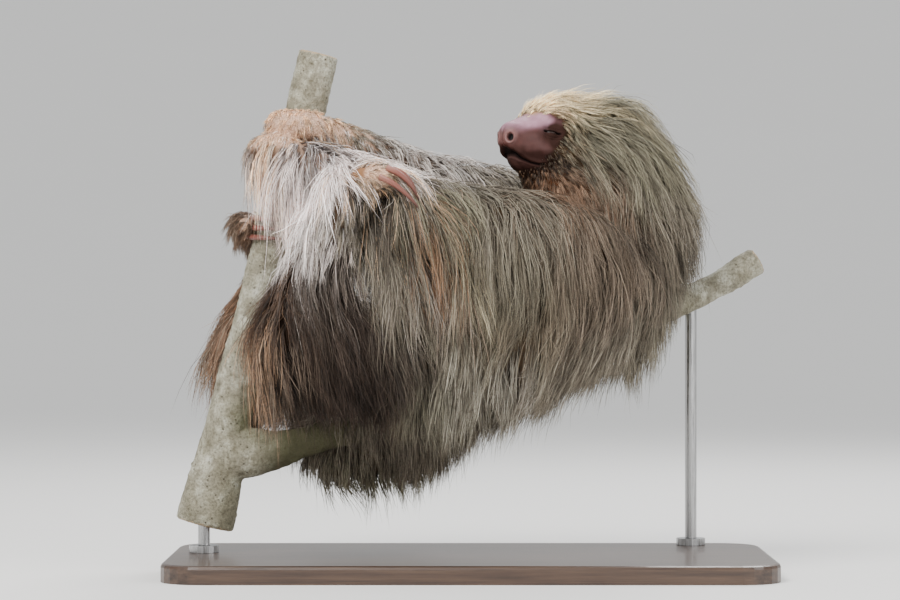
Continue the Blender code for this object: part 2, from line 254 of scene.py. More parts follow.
def noiseNode(tree, vector, scale, detail=3.0, roughness=0.55, place=(0, 0), stretch=None):
    if stretch:
        mapping = addNode(tree, "ShaderNodeMapping", place)
        mapping.inputs["Scale"].default_value = stretch
        tree.links.new(vector, mapping.inputs["Vector"])
        vector = mapping.outputs[0]
    node = addNode(tree, "ShaderNodeTexNoise", place)
    node.inputs["Scale"].default_value = scale
    node.inputs["Detail"].default_value = detail
    node.inputs["Roughness"].default_value = roughness
    tree.links.new(vector, node.inputs["Vector"])
    return node.outputs["Fac"]


def rampNode(tree, value, stops, place=(0, 0)):
    node = addNode(tree, "ShaderNodeValToRGB", place)
    ramp = node.color_ramp
    while len(ramp.elements) < len(stops):
        ramp.elements.new(0.5)
    for element, (position, colour) in zip(ramp.elements, stops):
        element.position = position
        element.color = (*colour, 1) if isinstance(colour, tuple) else (colour, colour, colour, 1)
    tree.links.new(value, node.inputs[0])
    return node.outputs[0]


def bumpNode(tree, height, strength, distance, place=(0, 0), normal=None):
    node = addNode(tree, "ShaderNodeBump", place)
    node.inputs["Strength"].default_value = strength
    node.inputs["Distance"].default_value = distance
    tree.links.new(height, node.inputs["Height"])
    if normal:
        tree.links.new(normal, node.inputs["Normal"])
    return node.outputs[0]


def newGroup(name, inputs, outputs):
    group = bpy.data.node_groups.new(name, "ShaderNodeTree")
    for socketName, kind, value in inputs:
        socket = group.interface.new_socket(socketName, in_out="INPUT", socket_type=kind)
        if value is not None:
            socket.default_value = value
    for socketName, kind in outputs:
        group.interface.new_socket(socketName, in_out="OUTPUT", socket_type=kind)
    return group, addNode(group, "NodeGroupInput", (-900, 0)), addNode(group, "NodeGroupOutput", (900, 0))


def coatMarkings():
    # mixes the coat's tints by the masks that skin and hair both carry
    inputs = [("Masks A", "NodeSocketColor", None), ("Masks B", "NodeSocketColor", None)]
    inputs += [(tint, "NodeSocketColor", (*colour, 1)) for tint, colour in coatColours.items()]
    group, start, end = newGroup("coatMarkings", inputs, [("Colour", "NodeSocketColor")])
    masks = []
    for i, side in enumerate("AB"):
        split = addNode(group, "ShaderNodeSeparateColor", (-700, -200 * i))
        group.links.new(start.outputs["Masks " + side], split.inputs[0])
        masks += list(split.outputs)
    colour = start.outputs["Base"]
    for i, (mask, tint) in enumerate(zip(masks, list(coatColours)[1:])):
        colour = mixNode(group, mask, colour, start.outputs[tint], (-400 + 200 * i, 0))
    group.links.new(colour, end.inputs["Colour"])
    return group


markings = coatMarkings()


def placeMarkings(tree, place):
    # the coat's colour at a place, from the masks stored on the mesh
    node = addNode(tree, "ShaderNodeGroup", place, node_tree=markings)
    for side, rise in (("A", 100), ("B", -100)):
        masks = attributeNode(tree, "masks" + side, (place[0] - 300, place[1] + rise))
        tree.links.new(masks.outputs["Color"], node.inputs["Masks " + side])
    return node.outputs["Colour"]


# how bright a hair is by its lock, by itself and by the way along it, and its own warmth
hairLook = {
    "lock": [(0.0, 0.30), (0.45, 0.80), (1.0, 1.0)],
    "single": [(0.0, 0.16), (0.30, 0.48), (0.65, 0.95), (1.0, 1.2)],
    "along": [(0.0, 0.30), (0.3, 0.68), (1.0, 1.0)],
    "warmth": [(0.0, (1.9, 1.62, 1.42)), (0.5, (2.0, 2.0, 2.0)), (1.0, (2.1, 2.12, 2.1))],
}


def hairMaterial():
    # hair colour from the masks at its root, darker at the root and paler at the tip, each lock its own tone
    material, tree, shader = newMaterial("slothHair", 0.52, Specular_IOR_Level=0.35)
    coat = placeMarkings(tree, (-600, 100))
    lock, hair, along = maskNodes(tree, "tones", (-700, -300))
    tuft = rampNode(tree, lock, hairLook["lock"], (-500, -150))
    single = rampNode(tree, hair, hairLook["single"], (-500, -300))
    grown = rampNode(tree, along, hairLook["along"], (-500, -450))
    shade = mathNode(tree, "MULTIPLY", mathNode(tree, "MULTIPLY", tuft, single, (-250, -200)), grown,
                     (-150, -300))
    warm = rampNode(tree, hair, hairLook["warmth"], (-300, 300))
    tinted = mixNode(tree, 1.0, coat, warm, (-100, 200), "MULTIPLY")
    bright = mixNode(tree, 1.0, tinted, shade, (50, 0), "MULTIPLY")
    tree.links.new(bright, shader.inputs["Base Color"])
    return material


# colours in pairs run from the dark to the pale of their mottling
skinLook = {
    # the top pair is partly the snout's own mauve and partly a painted highlight; the eye colour paints the
    # eye's dark patch and also painted shade low on the snout and jaw
    "undercoat": (0.24, 0.18, 0.14), "top": ((0.27, 0.125, 0.16), (0.46, 0.27, 0.345)),
    # the pale pink colour of the lips is a painted highlight along the lower lip, and the nose's own pink
    # round the nostrils
    "side": ((0.036, 0.009, 0.007), (0.085, 0.024, 0.019)), "lip highlight and nose pink": (0.40, 0.215, 0.20),
    # the crease colour is painted shade in the lid slit, the nostrils and the lip parting
    "eye patch and lower shade": (0.030, 0.0135, 0.0105), "creaseShade": (0.006, 0.003, 0.003),
    "short fur": ((0.26, 0.15, 0.09), (0.74, 0.50, 0.37)), "roughness": (0.44, 0.72, 0.8),
    "gloss": (0.34, 0.05), "pore scale": 1300, "bump": 0.35, "depth": 0.0004,
}


def grey(value):
    return (value, value, value)


def skinMaterial():
    # bare skin on the face and soles, dark undercoat elsewhere
    material, tree, shader = newMaterial("slothSkin")
    coat = placeMarkings(tree, (-1000, 100))
    undercoat = mixNode(tree, 1.0, coat, skinLook["undercoat"], (-800, 100), "MULTIPLY")
    bare, upper, dark = maskNodes(tree, "faceMasks", (-1000, -300))
    # the first skin mask is the painted shade of the creases
    line, shortFur, rosy = maskNodes(tree, "skinMasks", (-1000, -500))
    place = objectPlace(tree, (-1500, -800))
    mottle = noiseNode(tree, place, 160, 5, 0.6, (-1100, -800))
    fine = noiseNode(tree, place, 900, 3, 0.6, (-1100, -1000))
    # the top is paler partly by its own colour, partly by a painted highlight
    topColourAndHighlight = mixNode(tree, mottle, *skinLook["top"], (-800, -300))
    sideShade = mixNode(tree, mottle, *skinLook["side"], (-800, -450))
    skin = mixNode(tree, upper, sideShade, topColourAndHighlight, (-600, -300))
    # the nose's pink round the nostrils and a painted highlight along the lower lip
    skin = mixNode(tree, rosy, skin, skinLook["lip highlight and nose pink"], (-500, -300))
    # the eye's dark patch, with painted shade low on the snout and jaw
    skin = mixNode(tree, dark, skin, skinLook["eye patch and lower shade"], (-400, -300))
    # painted shade in the creases
    skin = mixNode(tree, line, skin, skinLook["creaseShade"], (-300, -300))
    speckle = rampNode(tree, fine, [(0.36, 0.0), (0.62, 1.0)], (-900, -650))
    furry = mixNode(tree, speckle, *skinLook["short fur"], (-600, -600))
    hidden = mixNode(tree, shortFur, undercoat, furry, (-400, 0))
    colour = mixNode(tree, bare, hidden, skin, (-150, 0))
    tree.links.new(colour, shader.inputs["Base Color"])
    shiny, dull, furRoughness = (grey(value) for value in skinLook["roughness"])
    rough = mixNode(tree, bare, furRoughness, mixNode(tree, dark, shiny, dull, (-350, -200)), (-150, -200))
    tree.links.new(rampNode(tree, dark, list(enumerate(skinLook["gloss"])), (-350, -350)),
                   shader.inputs["Specular IOR Level"])
    tree.links.new(rough, shader.inputs["Roughness"])
    cells = addNode(tree, "ShaderNodeTexVoronoi", (-900, -1200))
    cells.inputs["Scale"].default_value = skinLook["pore scale"]
    tree.links.new(place, cells.inputs["Vector"])
    pores = mathNode(tree, "MULTIPLY", cells.outputs["Distance"], bare, (-600, -1200))
    grain = mathNode(tree, "MULTIPLY", fine, 0.7, (-600, -1000))
    relief = mathNode(tree, "ADD", pores, grain, (-400, -1100))
    tree.links.new(bumpNode(tree, relief, skinLook["bump"], skinLook["depth"], (-200, -1000)),
                   shader.inputs["Normal"])
    return material


def eyeMaterial():
    material, tree, shader = newMaterial("sleepyEye", 0.3, Specular_IOR_Level=0.3)
    place = objectPlace(tree, (-700, 0))
    tree.links.new(rampNode(tree, noiseNode(tree, place, 300, 2), [(0.3, (0.012, 0.007, 0.006)),
                   (0.7, (0.045, 0.026, 0.022))], (-300, 0)), shader.inputs["Base Color"])
    return material


hornLook = {
    "colours": [(0.0, (0.36, 0.17, 0.13)), (0.25, (0.25, 0.088, 0.068)),
                (0.7, (0.16, 0.058, 0.043)), (1.0, (0.030, 0.014, 0.010))],  # from the root to the tip
    "streaks": ((0.62, 0.60, 0.58), (1.15, 1.12, 1.1)), "length": 1.2, "count": 14.0,
}


def clawMaterial():
    # pink horn that darkens to the tip, with fine lengthwise streaks
    material, tree, shader = newMaterial("clawHorn", 0.36, Specular_IOR_Level=0.4, Coat_Weight=0.12)
    along, around, tone = maskNodes(tree, "clawMasks", (-800, 0))
    place = addNode(tree, "ShaderNodeCombineXYZ", (-600, -300))
    tree.links.new(mathNode(tree, "MULTIPLY", along, hornLook["length"], (-700, -300)), place.inputs[0])
    tree.links.new(mathNode(tree, "MULTIPLY", around, hornLook["count"], (-700, -400)), place.inputs[1])
    tree.links.new(tone, place.inputs[2])
    streaks = noiseNode(tree, place.outputs[0], 3.0, 4, 0.6, (-450, -300))
    colour = rampNode(tree, along, hornLook["colours"], (-450, 100))
    streaked = mixNode(tree, streaks, *hornLook["streaks"], (-250, -100))
    tree.links.new(mixNode(tree, 1.0, colour, streaked, (-100, 0), "MULTIPLY"), shader.inputs["Base Color"])
    tree.links.new(bumpNode(tree, streaks, 0.35, 0.0004, (-200, -400)), shader.inputs["Normal"])
    return material


barkLook = {
    "lichen": [(0.30, (0.17, 0.155, 0.11)), (0.47, (0.37, 0.345, 0.265)),
               (0.60, (0.64, 0.62, 0.50)), (0.75, (0.86, 0.86, 0.79))],
    "tan": (0.30, 0.275, 0.19), "pores": (0.055, 0.042, 0.028), "specks": (0.09, 0.078, 0.050),
    # the moss colour also paints shade, dark and green, under the body and low down facing it
    "grime": (0.15, 0.13, 0.085), "mossAndShade": (0.115, 0.125, 0.045),
    "shade": ((0.045, 0.042, 0.020), (0.125, 0.12, 0.062)),  # painted shade under the body
    "rings": [(0.0, (0.50, 0.36, 0.22)), (0.45, (0.62, 0.47, 0.31)),
              (0.55, (0.40, 0.27, 0.15)), (1.0, (0.60, 0.45, 0.29))],
    "bump": 0.95, "depth": 0.0022,
}


def barkMaterial():
    # smooth grey bark with pale lichen, dark pores and dashes, moss round the fork, and painted shade, dark
    # and green, under the body and low down facing it
    material, tree, shader = newMaterial("greyBark", 0.85, Specular_IOR_Level=0.25)
    place = objectPlace(tree, (-1700, 0))
    mossAndShade, cut, ring = maskNodes(tree, "barkMasks", (-1400, -500))
    broad = noiseNode(tree, place, 22, 4, 0.6, (-1300, 200))
    patchy = noiseNode(tree, place, 55, 6, 0.62, (-1300, 0))
    fine = noiseNode(tree, place, 420, 4, 0.7, (-1300, -150))
    base = rampNode(tree, patchy, barkLook["lichen"], (-1000, 100))
    base = mixNode(tree, rampNode(tree, broad, [(0.35, 0.0), (0.62, 0.65)], (-1000, 300)), base,
                   barkLook["tan"], (-700, 100))
    dashes = addNode(tree, "ShaderNodeTexVoronoi", (-1300, -350))
    dashes.inputs["Scale"].default_value = 170
    tree.links.new(place, dashes.inputs["Vector"])
    pores = rampNode(tree, dashes.outputs["Distance"], [(0.10, 1.0), (0.24, 0.0)], (-1000, -350))
    broken = rampNode(tree, fine, [(0.42, 0.0), (0.58, 1.0)], (-1000, -550))
    pores = mathNode(tree, "MULTIPLY", pores, broken, (-800, -350))
    base = mixNode(tree, pores, base, barkLook["pores"], (-500, 100))
    base = mixNode(tree, rampNode(tree, fine, [(0.34, 0.55), (0.54, 0.0)], (-700, -100)), base,
                   barkLook["specks"], (-400, 100))
    rough = noiseNode(tree, place, 130, 6, 0.72, (-1300, -800), (1.0, 1.0, 0.55))
    base = mixNode(tree, rampNode(tree, rough, [(0.38, 0.6), (0.48, 0.0)], (-700, -1100)), base,
                   barkLook["grime"], (-380, 150))
    clumps = rampNode(tree, patchy, [(0.36, 0.25), (0.56, 1.0)], (-700, -700))
    mossAndShadeMask = mathNode(tree, "MULTIPLY", mossAndShade, clumps, (-500, -600))
    base = mixNode(tree, mossAndShadeMask, base, barkLook["mossAndShade"], (-300, 100))
    # painted shade under the body
    shade = maskNodes(tree, "barkShade", (-700, 450))[0]
    paintedShade = mixNode(tree, patchy, *barkLook["shade"], (-400, 300))
    base = mixNode(tree, shade, base, paintedShade, (-200, 100))
    grain = rampNode(tree, ring, barkLook["rings"], (-700, -900))
    tree.links.new(mixNode(tree, cut, base, grain, (-100, 100)), shader.inputs["Base Color"])
    relief = mathNode(tree, "MULTIPLY_ADD", pores, -0.7, (-500, -300))
    tree.links.new(mathNode(tree, "ADD", fine, mathNode(tree, "MULTIPLY", rough, 2.0, (-750, -250)),
                            (-600, -200)), relief.node.inputs[2])
    tree.links.new(bumpNode(tree, relief, barkLook["bump"], barkLook["depth"], (-200, -300)),
                   shader.inputs["Normal"])
    return material


def woodMaterial():
    material, tree, shader = newMaterial("stainedBase", 0.34, Coat_Weight=0.25)
    place = objectPlace(tree, (-1100, 0))
    grain = noiseNode(tree, place, 26, 6, 0.65, (-800, 0), (0.35, 9.0, 9.0))
    pores = noiseNode(tree, place, 190, 3, 0.6, (-800, -250), (0.25, 6.0, 6.0))
    colour = rampNode(tree, grain, [(0.3, (0.020, 0.011, 0.007)), (0.52, (0.062, 0.034, 0.021)),
                                    (0.75, (0.105, 0.062, 0.038))], (-400, 0))
    tree.links.new(colour, shader.inputs["Base Color"])
    tree.links.new(bumpNode(tree, pores, 0.25, 0.0003, (-300, -250)), shader.inputs["Normal"])
    return material


def steelMaterial():
    material, tree, shader = newMaterial("brushedRod", 0.3, Metallic=1.0)
    place = objectPlace(tree, (-1100, 0))
    lines = noiseNode(tree, place, 900, 2, 0.5, (-800, 0), (1.0, 1.0, 0.04))
    tree.links.new(rampNode(tree, lines, [(0.3, 0.34), (0.7, 0.52)], (-400, 0)), shader.inputs["Base Color"])
    tree.links.new(rampNode(tree, lines, [(0.3, 0.24), (0.7, 0.40)], (-400, -200)),
                   shader.inputs["Roughness"])
    return material


materials = {"hair": hairMaterial(), "skin": skinMaterial(), "eye": eyeMaterial(), "claw": clawMaterial(),
             "bark": barkMaterial(), "wood": woodMaterial(), "steel": steelMaterial()}
print("materials ready")


# region, way along the bone, radii on the way, width across the body
fleshRuns = [
    ("flank", ["pelvis", "loin"], [48, 54], 1.05),
    ("back", ["loin", "ribs", "withers"], [54, 61, 56], 1.15),
    ("back", [(154, 0, 300), (166, 2, 356)], [42, 42], 1.25),
    ("rump", [(-132, 60, 120), (-74, 56, 136)], [31, 40], 0.85),
    ("rump", [(-134, 56, 148), (-70, 40, 172)], [28, 42], 0.9),
    ("neck", ["withers", (146, 8, 388), (128, 6, 421)], [55, 51, 41], 1.05),
    ("neck", [(154, 6, 374), (146, 6, 412)], [44, 34], 1.15),
    ("throat", [(66, -17, 402), (88, -14, 384), (104, -12, 356)], [17, 28, 46], 1.0),
    ("upperArm", ["shoulderLeft", (30, -62, 340), "elbowLeft"], [36, 31, 26], 1.0),
    ("curtain", ["elbowLeft", (-124, -48, 384), (-166, -34, 406)], [26, 23, 20], 1.0),
    ("wristNear", [(-166, -34, 406), "wristLeft"], [20, 19], 1.0),
    ("farArm", ["shoulderRight", "elbowRight"], [36, 24], 1.0),
    ("foreArm", ["elbowRight", (-100, 8, 419)], [24, 18.5], 1.0),
    ("wrist", [(-100, 8, 419), "wristRight"], [18.5, 15], 1.0),
    ("thigh", ["hipLeft", "kneeLeft"], [42, 31], 1.0),
    ("shin", ["kneeLeft", (-142, -82, 318)], [31, 22], 1.0),
    ("ankle", [(-142, -82, 318), "ankleLeft"], [22, 15], 1.0),
    ("farThigh", ["hipRight", "kneeRight"], [40, 28], 1.0),
    ("shin", ["kneeRight", (-212, 64, 275)], [28, 20], 1.0),
    ("ankle", [(-212, 64, 275), "ankleRight"], [20, 17], 1.0),
    ("ankle", ["ankleLeft", (-104, -89, 388)], [14, 13], 1.0),
    ("foot", [(-100, -90, 388), (-90, -93, 390), (-79, -96, 388)], [12.5, 11, 7], 1.0),
    ("foot", [(-100, -89, 390), (-93, -91, 393), (-80, -94, 397)], [10, 10, 6.5], 1.0),
    ("footFar", ["ankleRight", aroundTrunk(22, 338, 40), aroundTrunk(62, 345, 36),
                 aroundTrunk(104, 346, 31)], [17, 17, 14, 9], 1.0),
    ("handNear", ["wristLeft", aroundTrunk(150, 420, 41), aroundTrunk(116, 420, 37),
                  aroundTrunk(84, 420, 33)], [20, 18, 15, 10], 1.0),
    ("hand", ["wristRight", aroundTrunk(152, 448, 34), aroundTrunk(112, 448, 27), aroundTrunk(80, 448, 26)],
     [15, 14, 11, 8], 1.0),
]

# region, middle and radii, in the head's own frame
headBalls = [
    ("crown", (-9, 0, 3), (42, 35, 35)), ("crown", (-30, 0, -3), (36, 34, 34)),
    ("brow", (10, 0, 12), (26, 26, 19)),
    ("snout", (49.5, 0, -8), (13, 15.2, 16.5)), ("snout", (54, 0, -5), (8.5, 13.6, 12)),
]
headRuns = [
    ("snout", [(6, 0, -3), (27, 0, -5.5), (43, 0, -8)], [29, 24.5, 19]),
    ("jaw", [(0, 0, -28), (24, 0, -33), (40, 0, -30.5)], [15, 10.5, 8]),
]
for across in (1, -1):
    headRuns += [
        ("snout", [(12, 12 * across, -12), (44, 7 * across, -17)], [17, 11]),
        ("cheek", [(-16, 20 * across, -8), (2, 17 * across, -22)], [21, 15]),
        ("jaw", [(0, 14 * across, -27), (35, 6 * across, -31)], [11, 7.5]),
    ]


def resolve(place):
    return joints[place] if isinstance(place, str) else place


def fleshBalls():
    # every ball of the flesh as region, middle, radii and turn
    balls = []
    for region, way, radii, width in fleshRuns:
        points = [resolve(p) for p in way]
        length = sum(math.dist(a, b) for a, b in zip(points, points[1:]))
        count = max(4, int(length / 6))
        for i in range(count):
            share = i / (count - 1)
            radius = alongCurve([(r, 0, 0) for r in radii], share)[0]
            balls.append((region, alongCurve(points, share), (radius, radius * width, radius), None))
    for region, way, radii in headRuns:
        for i in range(10):
            share = i / 9
            radius = alongCurve([(r, 0, 0) for r in radii], share)[0]
            balls.append((region, fromHead(alongCurve(way, share)), (radius,) * 3, headTurn))
    for region, middle, radii in headBalls:
        balls.append((region, fromHead(middle), radii, headTurn))
    return balls


# places outside the flesh that claim the coat near them for a region
coatMarkers = [
    ("curtain", (-204, -50, 406), 24), ("curtain", (-188, -54, 402), 24), ("curtain", (-218, -42, 407), 24),
    ("curtain", (-230, -26, 409), 22), ("curtain", (-236, -8, 408), 20), ("curtain", (-172, -58, 394), 22),
    ("curtain", (-154, -60, 388), 22), ("apron", (-118, -52, 360), 18), ("apron", (-100, -56, 354), 19),
    ("apron", (-80, -58, 344), 19), ("apron", (-62, -62, 334), 19), ("apron", (-44, -62, 324), 18),
    ("apron", (-90, -30, 360), 18), ("apron", (-60, -34, 345), 18),
    ("apron", (-202, -74, 226), 20), ("apron", (-190, -66, 211), 22), ("apron", (-172, -58, 205), 20),
    ("shin", (-138, -84, 360), 14), ("shin", (-130, -70, 356), 13), ("brow", (60, -8, 470), 16),
]
flesh = fleshBalls()
claims = flesh + [(name, np.array(middle, float), (reach,) * 3, None) for name, middle, reach in coatMarkers]
regionNames = sorted({ball[0] for ball in claims})
ballMiddles = np.array([ball[1] for ball in claims])
ballRadii = np.array([ball[2] for ball in claims])
ballRegion = np.array([regionNames.index(ball[0]) for ball in claims])


def inRegions(kinds, names):
    return np.isin(kinds, [regionNames.index(name) for name in names])


def buildSkin():
    source = bmesh.new()
    for _, middle, radii, turn in flesh:
        place = Matrix.Translation(Vector(middle) * mm)
        if turn is not None:
            place = place @ turn.to_4x4()
        size = Matrix.Diagonal((*(r * mm for r in radii), 1))
        bmesh.ops.create_icosphere(source, subdivisions=3, radius=1, matrix=place @ size)
    obj = newObject("slothSkin", meshFrom(source, "slothSkin"), materials["skin"])
    fuse(obj, 3.0, 5)
    return obj


# millimetres in the head's own frame; rims as height, width and rise, folds as height and depth
eyeSet = {"place": (17.5, 19.5, -1.0), "radius": 7.5, "lid": 1.1, "reach": 11.0, "slit": 10.5,
          "out": (0.30, 0.93, 0.20), "level": (0.95, -0.30, 0.05), "depth": 1.7,
          "rims": ((1.7, 1.0, 0.55), (-1.9, 0.9, 0.3)), "folds": ((5.4, 0.5), (-4.6, 0.55), (-7.0, 0.3))}
noseSet = {"nostril": (57.5, 8.2, -10.0), "axis": (0.86, 0.50, -0.10), "size": (3.7, 4.3), "depth": 6.0,
           "rim": 0.9, "groove": 0.9}
lipSet = {"parting": 2.4, "upper": 0.8, "lower": 0.6}
mouthLine = [(60, -19.0), (52, -24.5), (43, -29.0), (33, -31.5), (25, -32.0), (20, -31.0)]


def refine(obj, choose, rounds):
    # splits the faces whose middle is chosen, then softens them
    for _ in range(rounds):
        mesh = bmesh.new()
        mesh.from_mesh(obj.data)
        middles = np.array([face.calc_center_median() for face in mesh.faces]) / mm
        picked = choose(middles)
        edges = {edge for face, take in zip(mesh.faces, picked) if take for edge in face.edges}
        bmesh.ops.subdivide_edges(mesh, edges=list(edges), cuts=1, use_grid_fill=True)
        bmesh.ops.triangulate(mesh, faces=[face for face in mesh.faces if len(face.verts) > 4])
        middles = np.array([vert.co for vert in mesh.verts]) / mm
        soft = [vert for vert, take in zip(mesh.verts, choose(middles)) if take]
        for _ in range(3):
            bmesh.ops.smooth_vert(mesh, verts=soft, factor=0.5, use_axis_x=True, use_axis_y=True,
                                  use_axis_z=True)
        mesh.to_mesh(obj.data)
        mesh.free()


def nearFace(points):
    local = toHead(points)
    return (local[:, 0] > -4) & (np.linalg.norm(local - (30, 0, -10), axis=1) < 48)


def nearFeature(points):
    local = toHead(points)
    local[:, 1] = np.abs(local[:, 1])
    eye = np.linalg.norm(local - np.array(eyeSet["place"]), axis=1) < 13
    nose = np.linalg.norm(local - np.array(noseSet["nostril"]), axis=1) < 10
    return eye | nose | ((lineDistance(local) < 3.2) & (local[:, 0] > 12))


def nearPaw(points):
    tips = np.array([joints["wristLeft"], joints["wristRight"], (-98, -90, 390), (-214, 20, 345)])
    gap = np.min(np.linalg.norm(points[:, None, :] - tips[None], axis=2), axis=1)
    return gap < 42


def lineDistance(local):
    # how far a point is from the line of the lips, seen from the side
    best = np.full(len(local), 1e9)
    flat = local[:, [0, 2]]
    for start, end in zip(mouthLine, mouthLine[1:]):
        start, end = np.array(start), np.array(end)
        step = end - start
        t = np.clip(((flat - start) @ step) / (step @ step), 0, 1)
        best = np.minimum(best, np.linalg.norm(flat - start - t[:, None] * step, axis=1))
    return best


def lipSide(local):
    # positive above the line of the lips
    xs = np.array([p[0] for p in mouthLine])[::-1]
    zs = np.array([p[1] for p in mouthLine])[::-1]
    return local[:, 2] - np.interp(local[:, 0], xs, zs)


def bell(value, width):
    # 1 at zero, fading to 0 over a few widths
    return np.exp(-((value / width) ** 2))


def sculptEyes(folded, push, creaseShade):
    # closed lids over the balls, parted by one slit, with soft folds above and below
    out = np.array(eyeSet["out"])
    out /= np.linalg.norm(out)
    level = np.array(eyeSet["level"])
    level -= out * (level @ out)
    level /= np.linalg.norm(level)
    rise = np.cross(level, out)
    rise *= np.sign(rise[2])
    offset = folded - np.array(eyeSet["place"], float)
    distance = np.linalg.norm(offset, axis=1)
    u, v = offset @ level, offset @ rise
    ring = np.hypot(u, v)
    facing = (offset @ out) > 0
    lift = eyeSet["radius"] + eyeSet["lid"] - distance
    weight = smoothStep(eyeSet["reach"], 5.0, ring) * facing
    folded += (offset / distance[:, None]) * (0.8 * lift * weight)[:, None]
    bend = v - 0.2 + 0.002 * u * u      # the slit sags a little in its middle
    inSlit = smoothStep(eyeSet["slit"], eyeSet["slit"] - 2.5, np.abs(u)) * facing * (ring < 14)
    push -= eyeSet["depth"] * bell(bend, 0.75) * inSlit
    for height, width, swell in eyeSet["rims"]:
        push += swell * bell(bend - height, width) * inSlit
    wide = smoothStep(12, 7, np.abs(u)) * facing * (ring < 16)
    for height, depth in eyeSet["folds"]:
        arch = v - height + 0.02 * u * u * np.sign(height)
        push -= depth * bell(arch, 0.7) * wide
        creaseShade += 0.05 * bell(arch, 0.8) * wide
    # the slit is painted dark as shade, as the folds are faintly above
    creaseShade += 1.2 * bell(bend, 1.0) * inSlit
    creaseShade += 0.5 * bell(bend - 1.0, 1.0) * inSlit


def sculptNose(folded, push, creaseShade):
    # round nostrils with a raised rim, and the groove between them
    axis = np.array(noseSet["axis"]) / np.linalg.norm(noseSet["axis"])
    offset = folded - np.array(noseSet["nostril"], float)
    flat = offset - (offset @ axis)[:, None] * axis
    upward = np.array([0.0, 0.0, 1.0]) - axis * axis[2]
    upward /= np.linalg.norm(upward)
    sideways = np.cross(upward, axis)
    ring = np.hypot((flat @ sideways) / noseSet["size"][0], (flat @ upward) / noseSet["size"][1])
    close = np.linalg.norm(offset, axis=1) < 11
    hole = smoothStep(1.05, 0.55, ring) * close
    folded -= axis * (noseSet["depth"] * hole)[:, None]
    push += noseSet["rim"] * bell(ring - 1.35, 0.30) * close
    # the nostril holes are painted dark as shade
    creaseShade += smoothStep(1.0, 0.6, ring) * close
    middle = bell(folded[:, 1], 1.1) * smoothStep(52, 57, folded[:, 0]) * (folded[:, 2] < 2)
    push -= noseSet["groove"] * middle


def sculptLips(folded, push, creaseShade):
    gap = lineDistance(folded)
    above = lipSide(folded)
    reach = smoothStep(14, 19, folded[:, 0]) * (np.abs(folded[:, 2] + 24) < 16)
    push -= lipSet["parting"] * bell(gap, 0.85) * reach
    push += lipSet["upper"] * bell(above - 2.6, 1.6) * reach * (gap < 7)
    push += lipSet["lower"] * bell(above + 2.2, 1.3) * reach * (gap < 7)
    # the parting is painted dark as shade
    creaseShade += bell(gap, 0.95) * reach


def sculptFace(obj):
    # lids, nostrils and lips are pushed into the skin by short formulas, alike on both sides, and the
    # painted shade of their creases is returned
    points = meshPoints(obj.data)
    local = toHead(points)
    turned = meshNormals(obj.data) @ headAxes
    side = np.sign(local[:, 1] + 1e-6)
    mirror = np.stack([np.ones_like(side), side, np.ones_like(side)], 1)
    folded = local * mirror
    push, creaseShade = np.zeros(len(points)), np.zeros(len(points))
    for sculpt in (sculptEyes, sculptNose, sculptLips):
        sculpt(folded, push, creaseShade)
    wrinkle = waves(folded * (0.5, 1, 1.4), 3.0, 3) * 0.16 + waves(folded, 1.5, 4) * 0.07
    push += wrinkle * bareSkin(toHead(points))
    folded += turned * mirror * push[:, None]
    setPoints(obj.data, (folded * mirror) @ headAxes.T + np.array(headSet["centre"]))
    return np.clip(creaseShade, 0, 1)


# the naked face as two balls, and how brown and how clear of tints the hair at its edge is
bareSet = {"middle": (37, 0, -11), "radii": (33, 34, 29), "eyeMiddle": (19, 20, 4),
           "eyeRadii": (14.5, 16, 16), "brownRim": 0.62, "clearRim": 0.85}


def faceEdge(local):
    # below 1 on the naked muzzle and round the eyes, above it where hair grows
    folded = np.stack([local[:, 0], np.abs(local[:, 1]), local[:, 2]], 1)
    muzzle = np.linalg.norm((folded - bareSet["middle"]) / np.array(bareSet["radii"]), axis=1)
    socket = np.linalg.norm((folded - bareSet["eyeMiddle"]) / np.array(bareSet["eyeRadii"]), axis=1)
    return (muzzle**-5.0 + socket**-5.0) ** -0.2 + 0.06 * waves(local, 4.0, 12)


def bareSkin(local):
    return smoothStep(1.12, 0.88, faceEdge(local))
